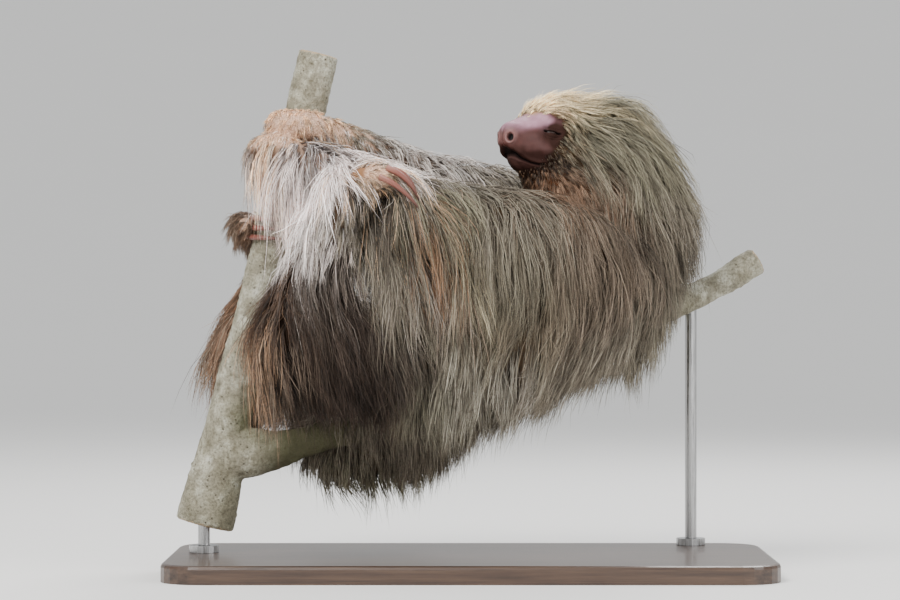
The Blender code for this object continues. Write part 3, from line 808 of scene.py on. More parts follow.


# where each tint lies, in the order of the colours: middle and reach in millimetres, strength; some dark
# marks are painted shade and one pale mark a painted highlight
coatTints = {
    "silver": [((-174, -50, 400), (84, 70, 40), 1.0), ((-146, -60, 378), (34, 60, 24), 0.55),
               ((-70, 10, 412), (75, 50, 24), 0.3), ((-160, -80, 338), (44, 50, 34), 0.45),
               ((-140, -90, 320), (36, 40, 30), 0.15), ((-60, 60, 380), (80, 50, 50), 0.3),
               ((-60, -60, 330), (26, 40, 16), 0.15), ((20, -80, 200), (90, 60, 44), 0.2)],
    "rust": [((120, -60, 342), (70, 60, 50), 0.22), ((-160, -90, 240), (50, 50, 50), 0.3),
             ((-48, -85, 352), (20, 60, 20), 0.85), ((-50, -80, 322), (24, 60, 20), 0.3),
             ((-196, -40, 412), (60, 50, 14), 0.35), ((-228, -20, 392), (20, 50, 40), 0.5),
             ((90, -40, 378), (90, 60, 15), 0.55), ((88, -50, 437), (13, 30, 16), 0.6),
             ((-208, 10, 285), (26, 70, 70), 0.8), ((-212, -70, 262), (26, 60, 50), 0.85),
             ((-130, -40, 412), (40, 30, 10), 0.4), ((60, -25, 395), (34, 40, 34), 0.35),
             ((48, -30, 384), (18, 30, 10), 0.7),
             ((-216, 20, 345), (44, 50, 34), 0.5), ((-226, 60, 230), (34, 40, 80), 0.6),
             ((-186, -80, 300), (26, 50, 50), 0.75), ((88, -48, 400), (50, 40, 16), 0.4),
             ((78, -45, 420), (26, 30, 18), 0.5), ((-120, -80, 300), (50, 50, 40), 0.25),
             ((60, -60, 290), (60, 60, 30), 0.2)],
    "dark": [((-160, 50, 156), (34, 50, 30), 0.8), ((-132, -80, 205), (84, 80, 62), 0.96),
             ((-70, -20, 160), (140, 60, 40), 0.36), ((92, -37, 440), (17, 26, 16), 0.85),
             ((76, -42, 413), (20, 26, 12), 0.6), ((82, -46, 408), (24, 26, 15), 0.6),
             # the second mark here is painted shade in the dark hollow beneath the near foot's claws
             ((-92, -90, 366), (36, 40, 14), 0.6), ((-60, -80, 372), (26, 40, 16), 0.55),
             ((-10, -60, 400), (40, 50, 26), 0.35), ((72, -35, 404), (26, 34, 15), 0.75),
             ((-215, 20, 350), (30, 40, 25), 0.5), ((-70, -80, 215), (64, 60, 50), 0.72),
             ((-60, 60, 130), (120, 60, 40), 0.2), ((-144, -90, 276), (60, 50, 52), 0.93),
             # the first mark here is a painted shadow in the cavity beside the orange tuft
             ((-70, -90, 336), (9, 40, 30), 0.7), ((120, -60, 335), (66, 60, 60), 0.22),
             ((184, 0, 336), (56, 90, 76), 0.3), ((-8, -80, 376), (26, 40, 18), 0.35),
             ((-168, -70, 200), (44, 60, 50), 0.6),
             # painted shadow along the lower edge of the upper limb, where it overhangs the limb below
             ((-192, -34, 442), (18, 30, 6), 0.95), ((-174, -34, 434), (18, 30, 7), 0.95),
             ((-156, -34, 424), (16, 30, 9), 0.95),
             ((-176, 0, 440), (26, 24, 7), 0.45)],
    "pale": [((-204, -50, 424), (18, 30, 10), 0.5), ((58, -10, 466), (40, 50, 26), 1.0),
             ((98, -20, 476), (60, 60, 28), 0.6),
             # a painted highlight on the lit top of the orange tuft
             ((-16, -100, 334), (18, 40, 14), 0.4)],
    "olive": [((150, -20, 445), (80, 90, 46), 0.45), ((20, -80, 290), (90, 70, 80), 0.2),
              ((-40, -90, 385), (40, 40, 22), 0.6), ((86, -46, 428), (20, 26, 20), 0.5),
              ((-60, 60, 100), (120, 80, 40), 0.6),
              ((200, 0, 240), (60, 90, 120), 0.15), ((10, -80, 190), (90, 70, 50), 0.45)],
    "tan": [((-196, -24, 436), (34, 40, 16), 0.8), ((-172, -10, 454), (60, 40, 22), 1.0),
            ((-100, -90, 394), (26, 30, 15), 0.9), ((60, -46, 424), (12, 24, 10), 0.15),
            ((76, -30, 456), (18, 24, 8), 0.4), ((94, -40, 451), (14, 22, 12), 0.3),
            ((-206, -50, 396), (40, 40, 22), 0.2), ((44, -25, 392), (9, 30, 14), 0.5),
            ((-204, -70, 280), (16, 60, 60), 0.28),
            ((98, -48, 424), (14, 26, 8), 0.2), ((-46, -96, 356), (16, 40, 14), 0.3)],
}


def tintMasks(points):
    # how much of each tint a place has, with ragged edges
    wobble = np.stack([waves(points, 14.0, 21 + i) for i in range(3)], 1) * 5.0
    masks = {}
    for tint, marks in coatTints.items():
        clear = np.ones(len(points))
        for middle, reach, strength in marks:
            far = np.linalg.norm((points + wobble - np.array(middle)) / np.array(reach), axis=1)
            clear *= 1 - strength * smoothStep(1.15, 0.55, far)
        masks[tint] = 1 - clear
    local = toHead(points)
    # below the eyes the hair starts brown
    rim = smoothStep(1.5, 1.02, faceEdge(local)) * smoothStep(9, -1, local[:, 2])
    masks["dark"] = 1 - (1 - masks["dark"]) * (1 - bareSet["brownRim"] * rim)
    for tint in ("pale", "olive", "tan"):
        masks[tint] = masks[tint] * (1 - bareSet["clearRim"] * rim)
    return list(masks.values())


def regionWeights(points):
    # soft membership of each region, from how near its flesh is
    weights = np.zeros((len(points), len(regionNames)))
    for start in range(0, len(points), 20000):
        part = points[start:start + 20000]
        gap = np.linalg.norm((part[:, None, :] - ballMiddles[None]) / ballRadii[None], axis=2)
        for k in range(len(regionNames)):
            nearest = gap[:, ballRegion == k].min(axis=1)
            weights[start:start + 20000, k] = np.exp(-14 * (nearest - 1))
    return weights / weights.sum(axis=1, keepdims=True)


def paintSkin(obj, creaseShade):
    # masks for the naked face, its pale top (partly a painted highlight) and dark parts (the eye's dark
    # patch and painted shade low on the snout and jaw), the painted shade of its creases, the nose's pink
    # with a painted lip highlight, and the short fur of the paws
    mesh = obj.data
    points = meshPoints(mesh)
    local = toHead(points)
    masks = tintMasks(points)
    storeColour(mesh, "masksA", masks[:3])
    storeColour(mesh, "masksB", masks[3:])
    bare = bareSkin(local)
    # the pale top of the snout: partly its own colour, partly a painted highlight
    upper = smoothStep(-4, 9, local[:, 2] + 0.10 * (local[:, 0] - 30) + 2.5 * waves(local, 5.0, 8))
    # painted shade, darker towards the bottom of the snout and on the jaw
    below = smoothStep(-15, -24, local[:, 2] + 1.6 * waves(local, 4.0, 9)) * smoothStep(8, 16, local[:, 0])
    eye = np.array(eyeSet["place"])
    folded = np.abs(local[:, 1])
    toEye = np.stack([local[:, 0], folded, local[:, 2]], 1) - eye
    toEye = np.linalg.norm((toEye + (3, 0, 1)) * (0.72, 0.72, 1.1), axis=1)
    behind = smoothStep(24, 16, local[:, 0] + 1.5 * waves(local, 4.0, 13)) * smoothStep(4, 12, folded)
    dark = np.clip(below * 0.85 + 0.95 * smoothStep(18, 8, toEye) + 0.6 * behind, 0, 1)
    upper *= 1 - 0.85 * behind
    toNose = np.stack([local[:, 0] - 57, folded - 7, local[:, 2] + 9], 1)
    rosy = smoothStep(10, 4, np.linalg.norm(toNose, axis=1))
    # a painted highlight along the lower lip
    lipHighlight = bell(lipSide(local) + 2.4, 1.4) * smoothStep(40, 46, local[:, 0])
    weights = regionWeights(points)
    pawParts = ("hand", "handNear", "foot", "footFar", "wrist", "wristNear")
    paw = sum(weights[:, regionNames.index(part)] for part in pawParts)
    storeColour(mesh, "faceMasks", [bare, upper, dark])
    # the third skin mask is the nose's pink and the painted lip highlight
    storeColour(mesh, "skinMasks",
                [creaseShade, smoothStep(0.3, 0.8, paw), np.clip(0.4 * rosy + 0.6 * lipHighlight, 0, 1)])
    return weights


skin = buildSkin()
refine(skin, nearPaw, 1)
refine(skin, nearFace, 2)
refine(skin, nearFeature, 1)
creaseShadeMask = sculptFace(skin)
skinWeights = paintSkin(skin, creaseShadeMask)
skin.data.shade_smooth()
ownPieces = ("stand_", "perch_", "claw_", "eye_")
declare(skin, "coat", *(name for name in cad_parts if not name.startswith(ownPieces)))
print("skin", len(skin.data.vertices), "vertices")


def buildEyes():
    for name, across in (("Left", 1), ("Right", -1)):
        x, y, z = eyeSet["place"]
        ball = bmesh.new()
        place = Matrix.Translation(Vector(fromHead((x, across * y, z))) * mm)
        bmesh.ops.create_uvsphere(ball, u_segments=32, v_segments=20, radius=eyeSet["radius"] * mm,
                                  matrix=place)
        mesh = meshFrom(ball, "eye" + name)
        mesh.shade_smooth()
        declare(newObject("eye" + name, mesh, materials["eye"]), "eyelid", "eye_" + name.lower())


buildEyes()


# millimetres; the ridge runs along the back, and the stand-off is from the trunk
clawSet = {"radius": 3.6, "rings": 22, "sides": 14, "ridge": 0.18, "taper": 0.82, "spacing": 9.4,
           "standOff": 5.0}
# limb, height on the trunk, rise along the claw, angles of its root and tip, how many
trunkClaws = [("hand_left", 420, -4, 86, -62, 2), ("hand_right", 448, -4, 86, -62, 2),
              ("foot_right", 345, -3, 96, 226, 3)]
leftFootClaws = [
    [(-88, -103, 391), (-73, -107, 383), (-59, -106, 371), (-49, -102, 359)],
    [(-81, -100, 400), (-67, -103, 392), (-56, -101, 380), (-50, -97, 368)],
    [(-76, -89, 399), (-64, -90, 393), (-55, -87, 381), (-50, -84, 370)],
]


def buildClaw(name, node, path, radius, tone):
    # a tapered hook, deeper than wide, with a blunt keel on its back
    mesh = bmesh.new()
    rings, sides = clawSet["rings"], clawSet["sides"]
    places = [alongCurve(path, i / (rings - 1)) for i in range(rings)]
    loops, masks = [], []
    for i, place in enumerate(places):
        share = i / (rings - 1)
        ahead = places[min(i + 1, rings - 1)] - places[max(i - 1, 0)]
        ahead /= np.linalg.norm(ahead)
        bendWay = places[0] + places[-1] - 2 * places[rings // 2]
        inner = bendWay - ahead * (bendWay @ ahead)
        inner /= np.linalg.norm(inner)
        across = np.cross(ahead, inner)
        width = radius * (1 - clawSet["taper"] * share**1.7)
        loop = []
        for k in range(sides):
            turn = 2 * math.pi * k / sides
            keel = 1 + clawSet["ridge"] * max(0, -math.cos(turn)) ** 3
            spot = place + (inner * math.cos(turn) * keel + across * math.sin(turn) * 0.86) * width
            loop.append(mesh.verts.new(spot * mm))
            masks.append((share, k / sides, tone))
        loops.append(loop)
    joinRows(mesh, loops)
    bmesh.ops.recalc_face_normals(mesh, faces=mesh.faces)
    data = meshFrom(mesh, name)
    storeColour(data, "clawMasks", np.array(masks).T)
    data.shade_smooth()
    declare(newObject(name, data, materials["claw"]), "claw_horn", node)


def buildClaws():
    reach = trunkLine["radius"] + clawSet["standOff"]
    for limb, height, rise, start, end, count in trunkClaws:
        for i in range(count):
            level = height + (i - (count - 1) / 2) * clawSet["spacing"]
            path = [aroundTrunk(start + (end - start) * k / 5, level + rise * k / 5, reach)
                    for k in range(6)]
            words = limb.split("_")
            name = f"claw{words[0].title()}{words[1].title()}{i + 1}"
            buildClaw(name, f"claw_{limb}_{i + 1}", path, clawSet["radius"], 0.2 * i)
    for i, path in enumerate(leftFootClaws):
        radius = clawSet["radius"] * (0.92 - 0.05 * i)
        buildClaw(f"clawFootLeft{i + 1}", f"claw_foot_left_{i + 1}", path, radius, 0.3 * i)


buildClaws()
print("eyes and claws ready")


branchSet = {"radius": 14.0, "flare": 13.0, "voxel": 2.2, "trunkRings": 60, "rings": 70, "ringGap": 3.1,
             "way": [(-240, 20, 118), (-205, 19, 120), (-174, 17, 127), (-120, 17, 142), (-42, 32, 162),
                     (56, 62, 199), (140, 90, 238), (240, 114, 279), (300, 124, 313)],
             "knots": [(-206, 6, 352, 9), (-178, 2, 470, 7), (-262, 6, 96, 10), (262, 106, 296, 7),
                       (-170, 30, 492, 6)]}


def sweep(mesh, places, radii, sides=40):
    rows = []
    for i, (place, radius) in enumerate(zip(places, radii)):
        ahead = Vector(places[min(i + 1, len(places) - 1)]) - Vector(places[max(i - 1, 0)])
        ahead.normalize()
        across = ahead.cross((0, 1, 0)).normalized()
        up = across.cross(ahead)
        row = []
        for k in range(sides):
            turn = 2 * math.pi * k / sides
            spot = Vector(place) + radius * (across * math.cos(turn) + up * math.sin(turn))
            row.append(mesh.verts.new(spot * mm))
        rows.append(row)
    joinRows(mesh, rows)


def perchWays():
    # the middles and radii of the trunk and of the branch that leaves it
    heights = [trunkLine["bottom"] + (trunkLine["top"] - trunkLine["bottom"]) * i / branchSet["trunkRings"]
               for i in range(branchSet["trunkRings"] + 1)]
    trunk = [(trunkX(h) + 1.2 * math.sin(h / 47), trunkLine["y"] + 1.5 * math.sin(h / 61), h)
             for h in heights]
    girth = [trunkLine["radius"] + trunkLine["flare"] * math.exp(-((h - 60) / 75) ** 2)
             + 0.7 * math.sin(h / 23) for h in heights]
    shares = [i / branchSet["rings"] for i in range(branchSet["rings"] + 1)]
    bough = [tuple(alongCurve(branchSet["way"], s)) for s in shares]
    thick = [branchSet["radius"] + branchSet["flare"] * math.exp(-((s * 5.5) ** 2)) + 0.5 * math.sin(s * 40)
             for s in shares]
    return trunk, girth, bough, thick


def endMasks(points, normals, trunk, bough):
    # which points lie on the sawn ends, and where they are in the growth rings
    trunkWay, boughWay = np.array(trunk), np.array(bough)
    ends = [(trunkWay[0], trunkWay[0] - trunkWay[3]), (trunkWay[-1], trunkWay[-1] - trunkWay[-4]),
            (boughWay[-1], boughWay[-1] - boughWay[-4])]
    cut, ring = np.zeros(len(points)), np.zeros(len(points))
    for place, out in ends:
        out = out / np.linalg.norm(out)
        rel = points - place
        flat = ((rel @ out) > -2.2) & (np.linalg.norm(rel, axis=1) < 45) & (normals @ out > 0.6)
        cut = np.maximum(cut, flat)
        radius = np.linalg.norm(rel - (rel @ out)[:, None] * out, axis=1)
        ring = np.where(flat, (radius / branchSet["ringGap"] + 0.3 * waves(points, 9, 5)) % 1.0, ring)
    return cut, ring


def buildPerch():
    mesh = bmesh.new()
    trunk, girth, bough, thick = perchWays()
    sweep(mesh, trunk, girth)
    sweep(mesh, bough, thick)
    bmesh.ops.recalc_face_normals(mesh, faces=mesh.faces)
    obj = newObject("treeFork", meshFrom(mesh, "treeFork"), materials["bark"])
    fuse(obj, branchSet["voxel"], 3)
    points = meshPoints(obj.data)
    normals = meshNormals(obj.data)
    cut, ring = endMasks(points, normals, trunk, bough)
    push = 0.7 * waves(points * (1, 1, 0.5), 11.0, 31) + 0.4 * waves(points, 4.0, 32)
    push += 0.5 * np.maximum(0, waves(points * (1, 1, 1.9), 3.0, 33)) ** 2
    for x, y, z, size in branchSet["knots"]:
        gap = np.linalg.norm(points - (x, y, z), axis=1)
        push += 1.6 * bell(gap - size, 0.34 * size) - 1.4 * bell(gap, 0.6 * size)
    points += normals * (push * (1 - cut))[:, None]
    setPoints(obj.data, points)
    # moss round the fork, and painted shade where the branch lies under the body and low down on the side
    # facing it
    fork = bell(np.linalg.norm((points - (-214, -6, 150)) / (22, 26, 20), axis=1), 1.0)
    under = smoothStep(-222, -182, points[:, 0]) * smoothStep(30, -30, points[:, 0])
    lower = 0.55 * smoothStep(330, 180, points[:, 2]) * smoothStep(0.1, 0.8, normals[:, 0])
    under *= smoothStep(260, 220, points[:, 2])
    storeColour(obj.data, "barkMasks", [np.clip(0.8 * fork + 0.4 * under + 0.4 * lower, 0, 1), cut, ring])
    # painted shade under the body
    zeros = np.zeros(len(points))
    storeColour(obj.data, "barkShade", [0.9 * under, zeros, zeros])
    obj.data.shade_smooth()
    return declare(obj, "bark", "perch_trunk", "perch_branch")


perch = buildPerch()
print("perch", len(perch.data.vertices), "vertices")


# length, depth of the coat, lift at the root, locks per square centimetre, hairs per lock, lock width,
# hair radius, pull of gravity, points on a hair
lengthAt, depthAt, liftAt, locksAt, hairsAt, spreadAt, radiusAt, gravityAt, pointsAt = range(9)
coatStyles = {
    "snout": (20, 4, 0.4, 6.0, 8, 2.0, 0.22, 0.1, 3),
    "jaw": (11, 2.5, 0.4, 8, 8, 2.0, 0.20, 0.15, 3),
    "cheek": (28, 6, 0.35, 6.4, 10, 2.3, 0.20, 0.25, 4),
    "brow": (32, 8, 0.62, 8.0, 11, 1.9, 0.19, 0.0, 4),
    "crown": (62, 12, 0.40, 4.2, 12, 3.1, 0.24, 0.20, 5),
    "throat": (30, 7, 0.40, 7.5, 11, 2.0, 0.20, 0.5, 4),
    "neck": (84, 14, 0.36, 2.4, 11, 4.6, 0.31, 0.5, 5),
    "back": (90, 15, 0.34, 1.6, 11, 5.4, 0.34, 0.8, 5),
    "flank": (84, 16, 0.36, 1.6, 11, 5.4, 0.34, 0.8, 5),
    "rump": (68, 16, 0.45, 1.8, 10, 4.8, 0.34, 0.7, 4),
    "upperArm": (102, 18, 0.40, 2.1, 11, 5.0, 0.34, 0.8, 5),
    "curtain": (104, 18, 0.44, 3.3, 11, 4.2, 0.29, 0.78, 6),
    "farArm": (90, 15, 0.42, 1.5, 10, 5.4, 0.40, 0.8, 4),
    "foreArm": (34, 8, 0.50, 3.4, 9, 3.4, 0.30, 0.6, 4),
    "wrist": (16, 4, 0.50, 5.0, 9, 2.4, 0.23, 0.35, 3),
    "wristNear": (23, 5, 0.50, 6.5, 9, 2.4, 0.23, 0.35, 3),
    "hand": (10, 2.5, 0.40, 8, 6, 1.8, 0.19, 0.15, 2),
    "handNear": (11, 2.5, 0.40, 8, 6, 1.8, 0.19, 0.2, 2),
    "foot": (10, 2.0, 0.42, 9, 7, 1.6, 0.17, 0.12, 2),
    "footFar": (24, 5, 0.40, 4.0, 9, 2.6, 0.26, 0.4, 3),
    "ankle": (34, 7, 0.42, 3.6, 9, 3.2, 0.30, 0.5, 4),
    "apron": (150, 15, 0.40, 4.2, 11, 4.6, 0.30, 0.92, 5),
    "shin": (92, 15, 0.42, 2.7, 11, 4.6, 0.30, 0.80, 5),
    "thigh": (76, 14, 0.42, 1.9, 11, 5.0, 0.34, 0.75, 5),
    "farThigh": (86, 14, 0.42, 1.4, 9, 5.2, 0.42, 0.8, 4),
}

# lowest places of the hair as side and height, for the near limbs and for the body
hems = {
    "limbs": [(-300, 150), (-220, 128), (-186, 134), (-172, 146), (-150, 152), (-128, 152), (-90, 142),
              (-52, 108), (300, 96)],
    "body": [(-300, 98), (-174, 92), (-136, 74), (-106, 68), (-66, 70), (-26, 84), (-8, 106), (12, 128),
             (48, 146), (76, 150), (90, 172), (128, 186), (152, 182), (170, 158), (182, 178), (194, 204),
             (206, 238), (216, 276), (300, 300)],
}

# middle, reach and direction of the lie of the coat
combs = [
    ((62, -8, 462), 22, (0.45, 0.05, 0.80)), ((92, -10, 478), 34, (0.92, 0.0, 0.38)),
    ((128, 0, 474), 40, (0.92, 0.0, -0.10)), ((165, 0, 456), 44, (0.82, 0.0, -0.50)),
    ((195, 0, 425), 40, (0.55, 0.0, -0.85)),
    ((84, -46, 440), 20, (0.90, -0.1, 0.10)), ((84, -46, 426), 20, (0.85, -0.15, -0.45)),
    ((66, -42, 414), 20, (0.6, -0.1, -0.75)),
    ((112, -52, 440), 32, (0.85, -0.1, -0.42)), ((112, -54, 418), 30, (0.68, -0.1, -0.72)),
    ((150, -60, 420), 45, (0.66, -0.1, -0.75)), ((185, -40, 400), 45, (0.45, -0.1, -0.88)),
    ((52, -18, 396), 24, (0.25, -0.1, -0.95)), ((190, -10, 380), 60, (0.28, 0.0, -0.96)),
    ((205, 0, 300), 70, (0.06, 0.0, -1.0)), ((120, -80, 350), 55, (0.30, -0.1, -0.95)),
    ((60, -80, 350), 50, (0.12, -0.1, -1.0)), ((20, -50, 386), 26, (0.6, -0.45, -0.5)),
    ((60, -44, 372), 30, (0.2, -0.4, -0.8)), ((-16, -96, 350), 20, (0.75, -0.2, -0.55)),
    ((-28, -96, 330), 26, (0.45, -0.2, -0.85)), ((-60, -92, 320), 26, (-0.10, -0.2, -1.0)),
    ((-200, -35, 400), 34, (-0.05, -0.2, -1.0)), ((-140, -60, 370), 50, (0.10, -0.15, -1.0)),
    ((-208, -72, 222), 34, (-0.08, -0.1, -1.0)), ((-150, -95, 225), 40, (0.45, -0.1, -0.9)),
    ((-90, -80, 220), 50, (0.25, -0.05, -1.0)), ((-86, -92, 402), 20, (0.7, -0.1, 0.1)),
    ((-112, -96, 384), 20, (0.72, -0.35, -0.5)),
    ((-120, -10, 430), 40, (0.35, -0.35, -0.85)), ((-180, -10, 452), 26, (-0.30, -0.2, -0.8)),
    ((-40, 0, 410), 45, (0.60, -0.3, -0.72)), ((-110, 60, 110), 60, (0.15, 0.0, -1.0)),
    ((-164, 50, 156), 32, (-0.85, -0.25, -0.55)),
    ((-95, -62, 332), 34, (0.02, -1.6, -1.0)),
    ((40, -70, 215), 50, (-0.34, -0.05, -1.0)), ((110, -60, 225), 50, (-0.55, 0.0, -0.85)),
    ((150, -50, 250), 50, (-0.30, 0.0, -0.95)), ((40, -80, 280), 55, (-0.10, -0.05, -1.0)),
    ((-20, -70, 200), 50, (-0.10, -0.05, -1.0)), ((-236, -20, 410), 24, (0.10, -0.3, -1.0)),
    ((-215, 20, 350), 26, (-0.45, -0.3, -0.75)), ((-224, 64, 270), 60, (-0.1, 0.2, -1.0)),
]
combMiddles = np.array([c[0] for c in combs], float)
combReach = np.array([c[1] for c in combs], float)
combWay = np.array([c[2] for c in combs], float)
combWay /= np.linalg.norm(combWay, axis=1, keepdims=True)
styleTable = np.array([coatStyles[name] for name in regionNames])


def unit(vectors):
    return vectors / np.maximum(np.linalg.norm(vectors, axis=1, keepdims=True), 1e-9)


def lieOfCoat(points):
    gap = np.linalg.norm(points[:, None, :] - combMiddles[None], axis=2) / combReach
    weight = np.exp(-(gap**2))
    way = (weight[:, :, None] * combWay[None]).sum(axis=1)
    swirl = np.stack([waves(points, 26.0, 41 + i) for i in range(3)], 1) * 0.34
    return unit(unit(way + np.array([0, 0, -0.02])) + swirl)


def unwrapSkin(obj):
    # an unwrap of the skin's own shape, whose places the hair's patches take
    bpy.context.view_layer.objects.active = obj
    obj.select_set(True)
    obj.data.uv_layers.new(name="OFBake")
    bpy.ops.object.mode_set(mode="EDIT")
    bpy.ops.mesh.select_all(action="SELECT")
    bpy.ops.uv.smart_project(angle_limit=math.radians(66), island_margin=0.002)
    bpy.ops.object.mode_set(mode="OBJECT")
    obj.select_set(False)


unwrapSkin(skin)
print("skin unwrapped")

# how the locks wave, close up and stray, their patch on the unwrap, how far tints mix in millimetres,
# and how many hairs and how wide the near and far sides have
flow = {"wave": 0.56, "clump": 0.56, "stray": 0.22, "frizz": 0.070, "flyaway": 0.16, "patch": 0.003,
        "lockTint": 6.5, "hairTint": 4.5, "halfDepth": 142, "nearShare": 0.845, "farShare": 0.55,
        "farWidth": 1.22}
# how much is left of each of a hair's sizes where the naked face begins
faceStart = {lengthAt: 0.26, depthAt: 0.30, hairsAt: 0.75, spreadAt: 0.5, radiusAt: 0.66, pointsAt: 0.55}
# places kept free of long hair round the near foot, as middle and radii
clearings = [((-88, -102, 398), (21, 20, 12)), ((-64, -106, 384), (25, 13, 22))]
perchTree = BVHTree.FromPolygons([tuple(v.co / mm) for v in perch.data.vertices],
                                 [tuple(p.vertices) for p in perch.data.polygons])


class SkinMap:
    # the skin's triangles, for sampling roots and finding the nearest place
    def __init__(self, mesh):
        mesh.calc_loop_triangles()
        count = len(mesh.loop_triangles)
        self.corners = np.empty(count * 3, np.int64)
        mesh.loop_triangles.foreach_get("vertices", self.corners)
        self.corners = self.corners.reshape(-1, 3)
        loops = np.empty(count * 3, np.int64)
        mesh.loop_triangles.foreach_get("loops", loops)
        uv = np.empty(len(mesh.loops) * 2)
        mesh.uv_layers["OFBake"].uv.foreach_get("vector", uv)
        self.uv = uv.reshape(-1, 2)[loops].reshape(-1, 3, 2)
        self.points = meshPoints(mesh)
        self.normals = meshNormals(mesh)
        self.tree = BVHTree.FromPolygons(self.points.tolist(), self.corners.tolist())
        a, b, c = (self.points[self.corners[:, i]] for i in range(3))
        self.area = np.linalg.norm(np.cross(b - a, c - a), axis=1) / 2

    def at(self, triangles, shares):
        picked = self.corners[triangles]
        place = (self.points[picked] * shares[:, :, None]).sum(axis=1)
        normal = unit((self.normals[picked] * shares[:, :, None]).sum(axis=1))
        return place, normal, (self.uv[triangles] * shares[:, :, None]).sum(axis=1)

    def nearest(self, places):
        # the nearest place, its smooth normal and its unwrap
        found = [self.tree.find_nearest(p) for p in places.tolist()]
        spots = np.array([tuple(f[0]) for f in found])
        triangles = np.array([f[2] for f in found])
        a, b, c = (self.points[self.corners[triangles, i]] for i in range(3))
        u, v, w = b - a, c - a, spots - a
        uu, uv, vv, wu, wv = ((m * n).sum(axis=1) for m, n in ((u, u), (u, v), (v, v), (w, u), (w, v)))
        base = np.maximum(uu * vv - uv * uv, 1e-12)
        second, third = (vv * wu - uv * wv) / base, (uu * wv - uv * wu) / base
        return self.at(triangles, np.clip(np.stack([1 - second - third, second, third], 1), 0, 1))


def keepOutside(places, skinMap, clearance):
    spots, normals, _ = skinMap.nearest(places)
    height = ((places - spots) * normals).sum(axis=1)
    low = height < clearance
    places[low] = (spots + normals * clearance[:, None])[low]
    for i, place in enumerate(places.tolist()):
        spot, normal, _, gap = perchTree.find_nearest(place, 30)
        if spot and ((gap < 1.5) or (Vector(place) - spot).dot(normal) < 0):
            places[i] = spot + normal * 1.5
    return places


def growGuides(skinMap):
    # one guide for each lock: where it starts, which way the skin faces there, its style and its region
    # weights
    weights = skinWeights[skinMap.corners].mean(axis=1)
    edge = faceEdge(toHead(skinMap.points))[skinMap.corners].mean(axis=1)
    closeness = smoothStep(2.1, 1.05, edge)
    facing = skinMap.normals[skinMap.corners].mean(axis=1)[:, 1]
    far = smoothStep(0.0, 0.5, facing)
    share = flow["nearShare"] + (flow["farShare"] - flow["nearShare"]) * far
    density = (weights @ styleTable[:, locksAt]) * smoothStep(0.86, 1.10, edge)
    density = density * (1 + 2.6 * closeness) * share / 100
    expected = density * skinMap.area
    copies = rng.poisson(expected)
    triangles = np.repeat(np.arange(len(copies)), copies)
    shares = rng.dirichlet((1, 1, 1), len(triangles))
    places, normals, _ = skinMap.at(triangles, shares)
    styles = weights[triangles] @ styleTable
    local = toHead(places)
    local[:, 1] = np.abs(local[:, 1])
    toEye = np.linalg.norm(local - np.array(eyeSet["place"]), axis=1)
    styles[:, radiusAt] *= 1 + (flow["farWidth"] - 1) * far[triangles]
    nearby = closeness[triangles]
    brow = weights[triangles][:, regionNames.index("brow")]
    for column, least in faceStart.items():
        styles[:, column] *= 1 + (least - 1) * nearby * (1 - 0.4 * brow)
    fringe = smoothStep(1.04, 0.86, edge)[triangles]
    styles[:, lengthAt] *= 1 - 0.3 * fringe
    keep = toEye > 10.5
    places, normals, styles, triangles = places[keep], normals[keep], styles[keep], triangles[keep]
    return places, normals, styles, weights[triangles]


def flowGuides(skinMap, places, styles, steps=8):
    length, depth, lift, gravity = styles[:, [lengthAt, depthAt, liftAt, gravityAt]].T
    count = len(places)
    size = rng.uniform(0.72, 1.12, count)
    layer = depth * rng.uniform(0.08, 1.0, count) ** 1.3
    step = (length * size / steps)[:, None]
    path = [places]
    side = rng.normal(size=(count, 3))
    bend = rng.uniform(0.5, 1.3, count) * 2 * math.pi
    phase = rng.uniform(0, 2 * math.pi, count)
    strength = flow["wave"] * rng.uniform(0.2, 1.6, count)
    previous = None
    near = places
    lean = unit(rng.normal(size=(count, 3))) * flow["stray"]
    for k in range(steps):
        t = k / steps
        spots, out, _ = skinMap.nearest(near)
        lie = lieOfCoat(near)
        tangent = unit(lie - out * (lie * out).sum(axis=1, keepdims=True) * (1 - t))
        height = ((near - spots) * out).sum(axis=1)
        fall = np.clip(gravity * (0.15 + t + 0.02 * np.maximum(0, height - depth)), 0, 1.2)
        way = tangent + out * (lift * 1.6 * (1 - t) ** 3)[:, None] + lean
        way[:, 2] -= fall
        way += unit(side) * (strength * np.sin(bend * t + phase))[:, None] * t
        if previous is not None:
            way = unit(way) + previous * 0.9
        previous = unit(way)
        ahead = near + previous * step
        ahead = keepOutside(ahead, skinMap, layer * min(1.0, 0.25 + 1.6 * (k + 1) / steps))
        previous = unit(ahead - near)
        near = near + previous * step
        path.append(near)
    return np.stack(path, axis=1)


def resample(paths, count):
    # the same curves with another number of points, by smooth interpolation
    old = paths.shape[1] - 1
    where = np.linspace(0, old, count)
    low = np.minimum(where.astype(int), old - 1)
    t = (where - low)[None, :, None]
    a, b, c, d = (paths[:, np.clip(low + k, 0, old)] for k in (-1, 0, 1, 2))
    return 0.5 * (2 * b + (c - a) * t + (2 * a - 5 * b + 4 * c - d) * t * t + (3 * b - a - 3 * c + d) * t**3)


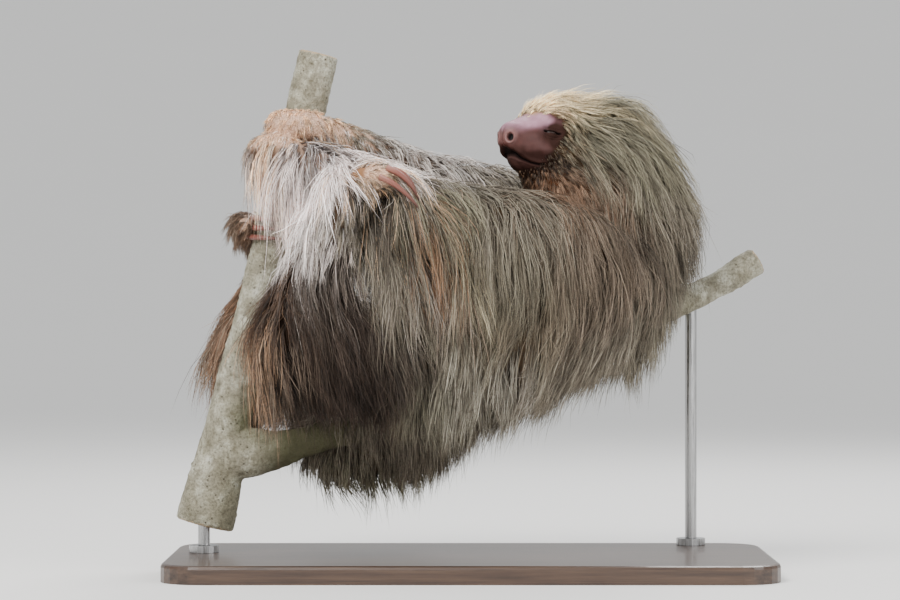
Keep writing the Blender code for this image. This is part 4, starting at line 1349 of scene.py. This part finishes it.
def trimHairs(hairs, limb):
    # cuts each hair where it would hang below the hem, with ragged ends
    total, count = hairs.shape[:2]
    ragged = rng.gamma(1.2, 9.0, total) - 12
    keep = np.ones(total)
    for name, chosen in (("limbs", limb), ("body", ~limb)):
        line = np.array(hems[name], float)
        floor = np.interp(hairs[:, :, 0], line[:, 0], line[:, 1]) - ragged[:, None]
        over = hairs[:, :, 2] - floor
        below = (over < 0) & chosen[:, None]
        first = np.where(below.any(axis=1), below.argmax(axis=1), count)
        cutting = (first < count) & (first > 0)
        rows = np.nonzero(cutting)[0]
        last = first[rows]
        high, low = over[rows, last - 1], over[rows, last]
        keep[rows] = (last - 1 + high / (high - low)) / (count - 1)
    keep = np.maximum(keep, 0.2)
    where = keep[:, None] * np.arange(count)[None]
    start = np.minimum(where.astype(int), count - 2)
    part = (where - start)[:, :, None]
    rows = np.arange(total)[:, None]
    return hairs[rows, start] * (1 - part) + hairs[rows, start + 1] * part


def outsideClearings(hairs):
    free = np.ones(len(hairs), bool)
    for middle, radii in clearings:
        gap = np.linalg.norm((hairs - np.array(middle)) / np.array(radii), axis=2)
        free &= (gap > 1).all(axis=1)
    return free


def growHairs(skinMap, guides, styles, normals, limb):
    # every lock becomes a bundle of hairs that close up towards the tip
    count = np.maximum(1, rng.poisson(styles[:, hairsAt]))
    owner = np.repeat(np.arange(len(guides)), count)
    style, guide = styles[owner], guides[owner]
    total = len(owner)
    offset = rng.normal(size=(total, 3))
    out = normals[owner]
    offset -= out * (offset * out).sum(axis=1, keepdims=True)
    offset = unit(offset) * (np.sqrt(rng.uniform(0, 1, total)) * style[:, spreadAt] * 1.15)[:, None]
    roots, out, uv = skinMap.nearest(guide[:, 0] + offset)
    spread = roots - guide[:, 0]
    share = np.linspace(0, 1, guide.shape[1])[None, :, None]
    tight = (flow["clump"] * rng.uniform(0.4, 1.35, len(guides)))[owner][:, None, None]
    closing = 1 - tight * np.clip(share, 0, 1) ** 0.8
    wild = np.where(rng.uniform(size=total) < flow["flyaway"], 2.8, 1.0) * flow["frizz"]
    loose = unit(rng.normal(size=(total, 3)))[:, None, :] * (style[:, lengthAt] * wild)[:, None, None]
    curl = np.sin(share * rng.uniform(1.5, 5, (total, 1, 1)) + rng.uniform(0, 6.28, (total, 1, 1)))
    size = rng.uniform(0.70, 1.05, total)
    rel = guide - guide[:, :1]
    hairs = roots[:, None, :] + rel * size[:, None, None] + spread[:, None, :] * (closing - 1)
    hairs += loose * (share**1.5) * curl + loose * share * 0.6
    hairs[:, 0] -= out * 0.8
    over = np.maximum(np.abs(hairs[:, :, 1]) - flow["halfDepth"], 0)  # strays stay near the body's own depth
    hairs[:, :, 1] -= np.sign(hairs[:, :, 1]) * (over - 9 * np.tanh(over / 9))
    hairs = trimHairs(hairs, limb[owner])
    lockTone = rng.beta(2.0, 2.0, len(guides))[owner]
    hairTone = rng.beta(1.6, 1.6, total)
    return hairs, owner, style, uv, lockTone, hairTone


def hairPattern(points):
    # faces of one three-sided hair, and where its vertices lie along and round it
    last = 3 * (points - 2)
    quads = [(3 * j + k, 3 * j + (k + 1) % 3, 3 * j + 3 + (k + 1) % 3, 3 * j + 3 + k)
             for j in range(points - 2) for k in range(3)]
    tris = [(2, 1, 0)] + [(last + k, last + (k + 1) % 3, last + 3) for k in range(3)]
    along = np.concatenate([np.repeat(np.linspace(0, 1, points)[:-1], 3), [1.0]])
    around = np.concatenate([np.tile([0.0, 0.5, 1.0], points - 1), [0.5]])
    return np.array(quads), np.array(tris), along, around


def hairBlock(paths, radius):
    # rings of three round the points of each path, narrower towards the tip that closes them
    n, m = paths.shape[:2]
    ahead = unit(np.gradient(paths, axis=1).reshape(-1, 3)).reshape(n, m, 3)
    side = unit(rng.normal(size=(n, 3)))[:, None, :]
    first = side - ahead * (side * ahead).sum(axis=2, keepdims=True)
    first = unit(first.reshape(-1, 3)).reshape(n, m, 3)
    second = np.cross(ahead, first)
    taper = 1 - 0.75 * np.linspace(0, 1, m) ** 1.6
    width = radius[:, None] * rng.uniform(0.75, 1.25, (n, 1)) * taper[None]
    rings = []
    for k in range(3):
        turn = 2 * math.pi * k / 3
        rings.append(paths + (first * math.cos(turn) + second * math.sin(turn)) * width[:, :, None])
    ring = np.stack(rings, axis=2)[:, :-1].reshape(n, -1, 3)
    return np.concatenate([ring, paths[:, -1:]], axis=1)


def coatMesh(name, verts, quads, tris, patches):
    mesh = bpy.data.meshes.new(name)
    mesh.vertices.add(len(verts))
    mesh.vertices.foreach_set("co", (verts * mm).ravel())
    corners = np.concatenate([quads.ravel(), tris.ravel()])
    mesh.loops.add(len(corners))
    mesh.loops.foreach_set("vertex_index", corners)
    starts = np.concatenate([np.arange(len(quads)) * 4, len(quads) * 4 + np.arange(len(tris)) * 3])
    mesh.polygons.add(len(starts))
    mesh.polygons.foreach_set("loop_start", starts)
    mesh.update(calc_edges=True)
    mesh.shade_smooth()
    layer = mesh.uv_layers.new(name="OFBake")
    layer.uv.foreach_set("vector", np.clip(patches, 0, 1).ravel())
    return mesh


def writeHairs(name, hairs, style, uv, lockTone, hairTone, masks):
    # closed three-sided tapered hairs, grouped by how many points they have
    verts, quads, tris, quadPatches, triPatches, tones, maskRows = ([] for _ in range(7))
    start = 0
    levels = np.round(style[:, pointsAt] - 0.9 * rng.integers(0, 2, len(style))).astype(int)
    levels = np.clip(levels, 2, 7)
    for level in np.unique(levels):
        pick = levels == level
        block = hairBlock(resample(hairs[pick], level + 1), style[pick, radiusAt])
        four, three, along, around = hairPattern(level + 1)
        n, each = block.shape[:2]
        base = start + np.arange(n)[:, None, None] * each
        patch = uv[pick][:, None, :] + flow["patch"] * (np.stack([around, along], 1)[None] - 0.5)
        for pattern, faces, patches in ((four, quads, quadPatches), (three, tris, triPatches)):
            faces.append((base + pattern[None]).reshape(-1, pattern.shape[1]))
            patches.append(patch[:, pattern].reshape(-1, 2))
        verts.append(block.reshape(-1, 3))
        tones.append(np.stack([np.repeat(lockTone[pick], each), np.repeat(hairTone[pick], each),
                               np.tile(along, n)]))
        maskRows.append(np.repeat(masks[pick], each, axis=0).T)
        start += n * each
    verts, quads, tris = (np.concatenate(rows) for rows in (verts, quads, tris))
    mesh = coatMesh(name, verts, quads, tris, np.concatenate(quadPatches + triPatches))
    maskRows = np.concatenate(maskRows, axis=1)
    storeColour(mesh, "tones", np.concatenate(tones, axis=1))
    storeColour(mesh, "masksA", maskRows[:3])
    storeColour(mesh, "masksB", maskRows[3:])
    declare(newObject(name, mesh, materials["hair"]), "coat")
    triangles = len(quads) * 2 + len(tris)
    print(name, len(hairs), "hairs", triangles, "triangles")
    return triangles


coatPieces = {
    "coatHead": ("crown", "brow", "cheek", "jaw", "snout", "throat"), "coatNeck": ("neck",),
    "coatBackNear": ("back",), "coatBackFar": ("back",), "coatFlank": ("flank", "farThigh"),
    "coatRump": ("rump",), "coatThigh": ("thigh",), "coatArmNear": ("upperArm",),
    "coatArmFar": ("farArm", "foreArm"), "coatCurtain": ("curtain",), "coatApron": ("apron",),
    "coatShins": ("shin", "ankle"),
    "coatPaws": ("wrist", "wristNear", "hand", "handNear", "foot", "footFar"),
}


def buildCoat():
    skinMap = SkinMap(skin.data)
    print("skin area", int(skinMap.area.sum() / 100), "square centimetres")
    places, normals, styles, weights = growGuides(skinMap)
    guides = flowGuides(skinMap, places, styles)
    print(len(guides), "locks")
    kind = weights.argmax(axis=1)
    limbParts = ("thigh", "shin", "curtain", "apron", "ankle")
    limb = inRegions(kind, limbParts)
    hairs, owner, style, uv, lockTone, hairTone = growHairs(skinMap, guides, styles, normals, limb)
    stray = rng.normal(size=places.shape)[owner] * flow["lockTint"]
    stray += rng.normal(size=(len(owner), 3)) * flow["hairTint"]
    masks = np.stack(tintMasks(hairs[:, 0] + stray), 1)
    region = kind[owner]
    free = outsideClearings(hairs)
    total = 0
    for name, parts in coatPieces.items():
        pick = inRegions(region, parts)
        if name != "coatPaws":
            pick &= free
        if name.startswith("coatBack"):
            pick &= (hairs[:, 0, 1] < 0) == name.endswith("Near")
        total += writeHairs(name, hairs[pick], style[pick], uv[pick], lockTone[pick], hairTone[pick],
                            masks[pick])
    print("coat", total, "triangles")


buildCoat()


studio = {"floor": (0.82, 0.81, 0.79), "flat": 4.6, "reach": 5.6, "height": 2.2, "glow": 0.18,
          "key": 86.0, "fill": 27.0, "rim": 36.0, "sky": 0.72}


def buildStage():
    # a wide bowl, flat in its middle, so that every side has the same pale paper behind it
    mesh = bmesh.new()
    flat, reach, height = studio["flat"], studio["reach"], studio["height"]
    profile = [(0.4, 0.0), (1.6, 0.0), (flat, 0.0)]
    profile += [(flat + reach * k / 16, height * (k / 16) ** 2) for k in range(1, 17)]
    sides = 96
    rows = [[mesh.verts.new((r * math.cos(t), r * math.sin(t), z))
             for t in (2 * math.pi * k / sides for k in range(sides))] for r, z in profile]
    mesh.faces.new(rows[0])
    joinRows(mesh, rows[::-1], closed=False)
    data = meshFrom(mesh, "studioFloor")
    data.shade_smooth()
    material, tree, shader = newMaterial("studioPaper", 0.9, Emission_Strength=studio["glow"])
    place = objectPlace(tree, (-700, 0))
    tree.links.new(mixNode(tree, noiseNode(tree, place, 3, 2), studio["floor"],
                           tuple(0.97 * c for c in studio["floor"])), shader.inputs["Base Color"])
    shader.inputs["Emission Color"].default_value = (*studio["floor"], 1)
    obj = newObject("studioFloor", data, material)


def addLight(name, place, target, size, power, colour=(1, 1, 1)):
    light = bpy.data.lights.new(name, "AREA")
    light.shape, light.size, light.energy, light.color = "DISK", size, power, colour
    obj = bpy.data.objects.new(name, light)
    scene.collection.objects.link(obj)
    obj.location = place
    obj.rotation_euler = (Vector(target) - Vector(place)).to_track_quat("-Z", "Y").to_euler()


def buildLights():
    addLight("keyLight", (-0.9, -1.5, 2.1), (0, 0, 0.3), 1.3, studio["key"], (1.0, 0.985, 0.96))
    addLight("fillLight", (1.8, -1.6, 1.0), (0, 0, 0.28), 1.6, studio["fill"])
    addLight("rimLight", (0.6, 1.5, 1.9), (0, 0, 0.3), 1.2, studio["rim"])
    world = bpy.data.worlds.new("studioAir")
    world.use_nodes = True
    world.node_tree.nodes["Background"].inputs[0].default_value = (0.95, 0.975, 1.0, 1)
    world.node_tree.nodes["Background"].inputs[1].default_value = studio["sky"]
    scene.world = world


cameraSet = {"side": -0.02, "height": 0.272, "distance": 3.0, "view": 0.9}


def buildCamera():
    data = bpy.data.cameras.new("mainCamera")
    data.sensor_width = 36
    data.lens = 36 * cameraSet["distance"] / cameraSet["view"]
    obj = bpy.data.objects.new("mainCamera", data)
    scene.collection.objects.link(obj)
    obj.location = (cameraSet["side"], -cameraSet["distance"], cameraSet["height"])
    obj.rotation_euler = (math.pi / 2, 0, 0)
    scene.camera = obj


for name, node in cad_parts.items():
    if name.startswith("stand_"):
        for place in node.material_slots:
            place.material = materials["wood" if name == "stand_base" else "steel"]
buildStage()
buildLights()
buildCamera()
print("stage ready")
